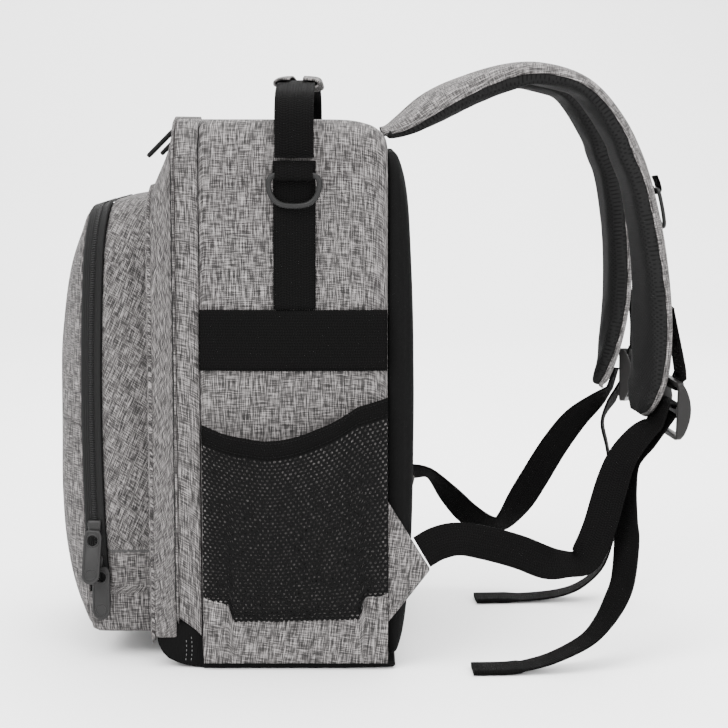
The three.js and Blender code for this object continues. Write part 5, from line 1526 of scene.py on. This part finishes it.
def wing(side, label):
    """A doubled tab of cloth with rounded edges and a double row of stitches."""
    out, share = np.meshgrid(np.linspace(0, 1, 22), np.linspace(0, 1, 34), indexing="ij")
    edge = np.minimum(np.minimum(share, 1 - share) * WING_HEIGHT, (1 - out) * WING_LENGTH)
    full = np.sqrt(np.clip(edge / 1.6, 0.0, 1)) * 1.35 + 0.1
    soft = ripple(out * 31, share * 90, 26, 71) * 0.35 * ramp(edge / 6)
    groove = np.exp(-((edge - 4.2) / 0.8) ** 2) * 0.35
    middle = wing_point(side, label, out, share)
    way = side_ways(side)
    front = middle + way * (full + soft - groove)[..., None]
    back = middle - way * (full - soft - groove)[..., None]
    rows, columns = front.shape[:2]
    grid = np.concatenate([front, back[:, ::-1]], 1)
    faces, _, _ = grid_faces(rows, columns * 2, True)
    points = grid.reshape(-1, 3)
    ends = [[[i * 2 * columns + j, i * 2 * columns + j + 1, i * 2 * columns + 2 * columns - 2 - j,
              i * 2 * columns + 2 * columns - 1 - j] for j in range(columns - 1)] for i in (0, rows - 1)]
    first = np.array(ends[0])
    second = np.array(ends[1])[:, ::-1]
    blocks = np.concatenate([faces, first, second])
    if not facing(points, blocks):
        blocks = blocks[:, ::-1]
    flat = points[blocks.ravel()]
    uv = np.stack([flat[:, 2], flat[:, 1]], 1)
    add_mesh(f"wing_{label}", points, [blocks], "fold_cloth", uv, replaces=[f"wing_{label}"])
    seams = Stitches()
    t = np.linspace(0.0, 0.9, 30)
    for inset in (0.05, 0.1):
        for upper in (inset, 1 - inset):
            line = wing_point(side, label, t, upper) + way * 1.35
            seams.run(line, way, 2.8)
            seams.run(line - way * 2.7, -way, 2.8)
    seams.build(f"wing_stitches_{label}", "grey_thread", 0.5)


LOWER_ROUTE = {  # out, up, side, turn, shown
    "right": [
        (0.065, 0.494, 0.07, -77, 0.97), (0.149, 0.506, 0.17, -90, 0.9), (0.263, 0.482, 0.3, -103, 0.97),
        (0.391, 0.441, 0.43, -107, 0.98), (0.497, 0.397, 0.51, -97, 0.94), (0.574, 0.388, 0.56, -62, 0.72),
        (0.636, 0.392, 0.58, -25, 0.78), (0.673, 0.439, 0.61, -12, 0.96), (0.714, 0.539, 0.63, -16, 0.98),
        (0.76, 0.708, 0.64, -18, 0.9), (0.803, 0.814, 0.69, -24, 0.74), (0.875, 0.898, 0.82, -28, 0.58),
        (0.933, 0.94, 0.91, -26, 0.34),
    ],
    "left": [
        (0.092, 0.527, 0.1, -115, 0.45), (0.188, 0.431, 0.2, -132, 0.75), (0.277, 0.346, 0.3, -130, 0.85),
        (0.367, 0.302, 0.37, -100, 0.75), (0.428, 0.302, 0.4, -60, 0.68), (0.47, 0.337, 0.45, -32, 0.8),
        (0.522, 0.413, 0.53, -24, 0.97), (0.588, 0.522, 0.62, -24, 0.99), (0.678, 0.671, 0.73, -30, 0.97),
        (0.773, 0.796, 0.83, -34, 0.9), (0.869, 0.882, 0.93, -36, 0.68), (0.931, 0.94, 0.97, -26, 0.34),
    ],
}
TAIL_ROUTE = {  # back, up, wide, turn, shown
    "right": [
        (0.123, 0.867, 0, -28, 0.48), (0.204, 0.786, -0.02, -15, 0.55), (0.225, 0.678, 0.02, -5, 0.6),
        (0.223, 0.545, 0.12, 0, 0.62), (0.2195, 0.469, 0.22, 4, 0.63), (0.243, 0.337, 0.43, 8, 0.6),
        (0.285, 0.255, 0.57, -15, 0.5), (0.353, 0.172, 0.69, -35, 0.3), (0.438, 0.11, 0.8, -50, 0.15),
        (0.586, 0.055, 0.9, -70, 0.06), (0.707, 0.028, 0.95, -80, 0.02), (0.825, 0.0145, 0.98, -90, 0),
        (1, 0.0128, 1, -90, 0),
    ],
    "left": [
        (0.086, 0.882, 0, -28, 0.4), (0.145, 0.791, 0, -10, 0.2), (0.11, 0.67, 0.05, 10, 0.15),
        (0.067, 0.482, 0.18, 10, 0.2), (0.059, 0.304, 0.32, 0, 0.2), (0.12, 0.17, 0.45, -40, 0.15),
        (0.23, 0.09, 0.59, -60, 0.08), (0.385, 0.037, 0.73, -75, 0.03), (0.636, 0.0145, 0.86, -90, 0),
        (1, 0.0128, 1, -90, 0),
    ],
}
TAIL_RUN = {"right": 149.0, "left": 125.0}
TAIL_TIP_X = {"right": 141.0, "left": 70.0}
SEWN_END = 34.0
FLOOR_GAP = 0.6


def turned(side, turn, shown):
    """The way across the webbing, from the angle and the share of its width seen from the side."""
    angle, seen = np.radians(turn), np.clip(shown, 0, 1)
    return np.stack([side * np.sqrt(1 - seen * seen), seen * np.cos(angle), seen * np.sin(angle)], 1)


def lower_webbing(side, label):
    """From the wing up through the buckle and down to its free tail, whose end is folded and sewn."""
    buckle, cross, up, outward = ladder_frame(side)
    edge = unit(wing_point(side, label, 0.95, 1) - wing_point(side, label, 0.6, 1))
    start = wing_point(side, label, 0.77, 1) + np.array([0, -edge[2], edge[1]]) * SEAT * 3.6
    table = [(*start, np.degrees(np.arctan2(edge[2], edge[1])), np.hypot(edge[2], edge[1]))]
    for out, high, wide, turn, shown in LOWER_ROUTE[label]:
        table.append((lerp(start[0], buckle[0], wide), lerp(start[1], buckle[1], out), high * buckle[2],
                      turn, shown))
    rise = smooth(table, 5)
    ways = [turned(side, rise[:, 3], rise[:, 4])]
    line = [rise[:, :3]]
    line.append([buckle + up * TURN_RADIUS * 1.15 - outward * TURN_RADIUS * 1.6])
    bend = [pi * (0.6 - t * 1.2) for t in np.linspace(0, 1, 9)]
    line.append([buckle + up * TURN_RADIUS * sin(a) + outward * TURN_RADIUS * cos(a) for a in bend])
    ways.append(np.broadcast_to(cross, (10, 3)))
    back, high, wide, turn, shown = smooth(TAIL_ROUTE[label], 5).T
    fall = np.stack([lerp(buckle[0], side * TAIL_TIP_X[label], wide), buckle[1] - back * TAIL_RUN[label],
                     np.maximum(high * buckle[2], WEBBING + FLOOR_GAP)], 1)
    line.append(fall)
    ways.append(turned(side, turn, shown))
    centres = np.concatenate([np.asarray(part, float) for part in line])
    across = np.concatenate([np.asarray(part, float) for part in ways])
    thickness = np.full(len(centres), WEBBING)
    tip = np.linalg.norm(centres - centres[-1], axis=1) < SEWN_END
    tip[:len(centres) // 2] = False
    thickness[tip] = WEBBING * 2
    webbing_strip(f"lower_webbing_{label}", centres, across, LOWER_WEBBING_WIDTH, thickness,
                  replaces=[f"lower_webbing_{label}"])


# Sliders and pulls

def slider(name, at, along, across, off):
    """A zip slider: a wedge with a low bridge on top of it."""
    table = [(-6, 3.0, 2.0), (-5.2, 3.6, 2.9), (-3, 4.2, 3.5),  # place, half width, height
             (2.4, 5.0, 3.7), (5.2, 4.9, 3.0), (6, 4.4, 2.2)]
    rows = smooth(table, 3)
    centres = at + along * rows[:, :1] + off * rows[:, 2:] / 2
    ways = np.broadcast_to(across, centres.shape)
    faces = np.broadcast_to(off, centres.shape)
    scale = np.stack([rows[:, 1], rows[:, 2] / 2], 1)
    angle = np.linspace(0, 2 * pi, 20, endpoint=False)
    box = np.stack([squared_up(np.cos(angle), 0.35), squared_up(np.sin(angle), 0.35)], 1)
    sweep(name, centres, ways, faces, box, "gunmetal", scale=scale, replaces=[name])


def pull_outline(length, width):
    """A zip pull seen flat: its narrowed head at the hinge, its round foot below."""
    w = width / 2
    angle = np.linspace(0, -pi, 17)
    foot = np.stack([w * np.cos(angle), -length + w * 1.1 + w * 1.1 * np.sin(angle)], 1)
    head = np.array([(-w, -length * 0.12), (-w * 0.8, -1.0), (-w * 0.6, 0.0), (w * 0.6, 0.0), (w * 0.8, -1.0),
                     (w, -length * 0.12)])
    return np.concatenate([head, foot])


def circle(radius, height, count=28):
    angle = np.linspace(0, 2 * pi, count, endpoint=False)
    return np.stack([radius * np.cos(angle), height + radius * np.sin(angle)], 1)


def pocket_pulls():
    """The front pocket's two sliders, one below the other, with their flat metal pulls."""
    half = POCKET_WIDTH / 2 - 0.8
    across = unit([half * TAPE_SLANT, TAPE_WIDTH - 2 * SEAT, 0])
    off = np.cross(across, Z_WAY)
    for label, step, leans, shift in (("lower", 1, 0, 4.0), ("upper", 0, 1, 0.0)):
        z = UPPER_SLIDER_Z - step * SLIDER_STEP
        seat = tape_point(half, z, 0.5) + off * SEAT
        slider(f"pocket_slider_{label}", seat, Z_WAY, across, off)
        lean = radians(UPPER_PULL_LEAN) * leans
        up = Z_WAY * cos(lean) - off * sin(lean)
        away = off * cos(lean) + Z_WAY * sin(lean)
        hinge = seat + off * (SLIDER_HEIGHT + SEAT) + across * shift - Z_WAY * 1.2 + away * 0.9
        name = f"pocket_pull_{label}"
        plate(name, [pull_outline(*POCKET_PULL), circle(4, -7.6)], 1.2, 0.3, hinge, across, up,
              "gunmetal", body=name, replaces=[name])
        inner = pull_outline(36.6, 10.1) - [0, 1.7]
        raised = (  # lines that stand up on both faces of the pull
            ("rim", [pull_outline(*POCKET_PULL), inner], 2.0),
            ("eye", [circle(5.0, -7.6), circle(4.0, -7.6)], 2.0),
            ("disc", [circle(4.4, -32.6), circle(3.5, -32.6)], 1.8),
        )
        for word, loops, thickness in raised:
            plate(f"{name}_{word}", loops, thickness, 0.3, hinge, across, up, "gunmetal", body=name)


def organiser_pulls():
    """The organiser's two sliders on its sloping top, with plain pulls that stand off it."""
    slope = unit([0, -ORGANISER_DEPTH, -ORGANISER_SLOPE])
    off = np.array([0, slope[2], -slope[1]])
    if off[2] < 0:
        off = -off
    for side, label in ((1, "right"), (-1, "left")):
        at = np.array([side * HALF * 0.36, ORGANISER_BACK_Y - 1, ORGANISER_TOP + 1.2]) + off * SEAT
        slider(f"organiser_slider_{label}", at, np.array([side, 0.0, 0.0]), slope, off)
        hinge = at + off * (SLIDER_HEIGHT + SEAT) + unit([0, -1, 1]) * 0.9
        plate(f"organiser_pull_{label}", [pull_outline(*ORGANISER_PULL)], 3.4, 1.0, hinge, X_WAY,
              unit([0, 1, 1]), "dark_pull", body=f"organiser_pull_{label}",
              replaces=[f"organiser_pull_{label}"])


def stage():
    """A pale floor that curves up into a backdrop, and soft light from above and in front."""
    y = np.linspace(-4, 4, 3) / MM
    path = smooth([(3.2, 0.0), (0.0, 0.0), (-1.6, 0.0), (-2.4, 0.12), (-2.9, 0.9), (-3.0, 3.2)], 12) / MM
    grid = np.stack([np.stack([np.full(3, x), y, np.full(3, z)], 1) for x, z in path])
    faces, _, _ = grid_faces(*grid.shape[:2])
    mesh = bpy.data.meshes.new("floor")
    if not facing(grid.reshape(-1, 3), faces, (0, 0, -5000)):
        faces = faces[:, ::-1]
    mesh.from_pydata((grid.reshape(-1, 3) * MM).tolist(), [], faces.tolist())
    mesh.polygons.foreach_set("use_smooth", [True] * len(mesh.polygons))
    paper = Paint("pale_floor")
    cloud = paper.noise(paper.x * 0.002, paper.y * 0.002, 0.0)
    mesh.materials.append(paper.finish(paper.mix(cloud, grey(0.86), grey(0.9)), 0.7))
    floor = bpy.data.objects.new("floor", mesh)
    scene.collection.objects.link(floor)
    lights = [  # name, place, aim, size, power
        ("key", (1.6, -1.4, 2.2), (0, 0, 0.2), 1.6, 116),
        ("fill", (2.2, 1.6, 1.2), (0, 0.05, 0.2), 1.8, 76),
        ("top", (0.1, 0.1, 2.4), (0, 0, 0.2), 1.6, 80),
        ("back", (-1.4, 0.4, 1.6), (-0.8, 0, 0.3), 2.0, 60),
    ]
    for name, place, aim, size, power in lights:
        data = bpy.data.lights.new(name, "AREA")
        data.size = size
        data.energy = power
        lamp = bpy.data.objects.new(name, data)
        lamp.location = place
        lamp.rotation_euler = (Vector(aim) - Vector(place)).to_track_quat("-Z", "Y").to_euler()
        scene.collection.objects.link(lamp)
    world = bpy.data.worlds.new("studio")
    world.use_nodes = True
    world.node_tree.nodes["Background"].inputs[0].default_value = (1, 1, 1, 1)
    world.node_tree.nodes["Background"].inputs[1].default_value = 2.1
    scene.world = world


main_shell()
lid_panel()
organiser_section()
zip_ring("organiser_zip", LID_FRONT_Y + 1.4, ORGANISER_BACK_Y - 0.6, 1.1, "zip_tape",
         replaces=["organiser_zip"])
pocket_gusset()
pocket_zip()
pocket_face()
front_patch()
base_panel()
back_panel()
handle()
pocket_pulls()
organiser_pulls()
for way, word in ((1, "right"), (-1, "left")):
    side_pieces(way, word)
    side_ring(way, word)
    padding = strap_core(way, word)
    unwrap_strap(padding, way)
    strap_shell(way, word, padding)
    strap_ring(way, word)
    ladder_lock(way, word)
    buckle_tab(way, word)
    wing(way, word)
    lower_webbing(way, word)
stage()
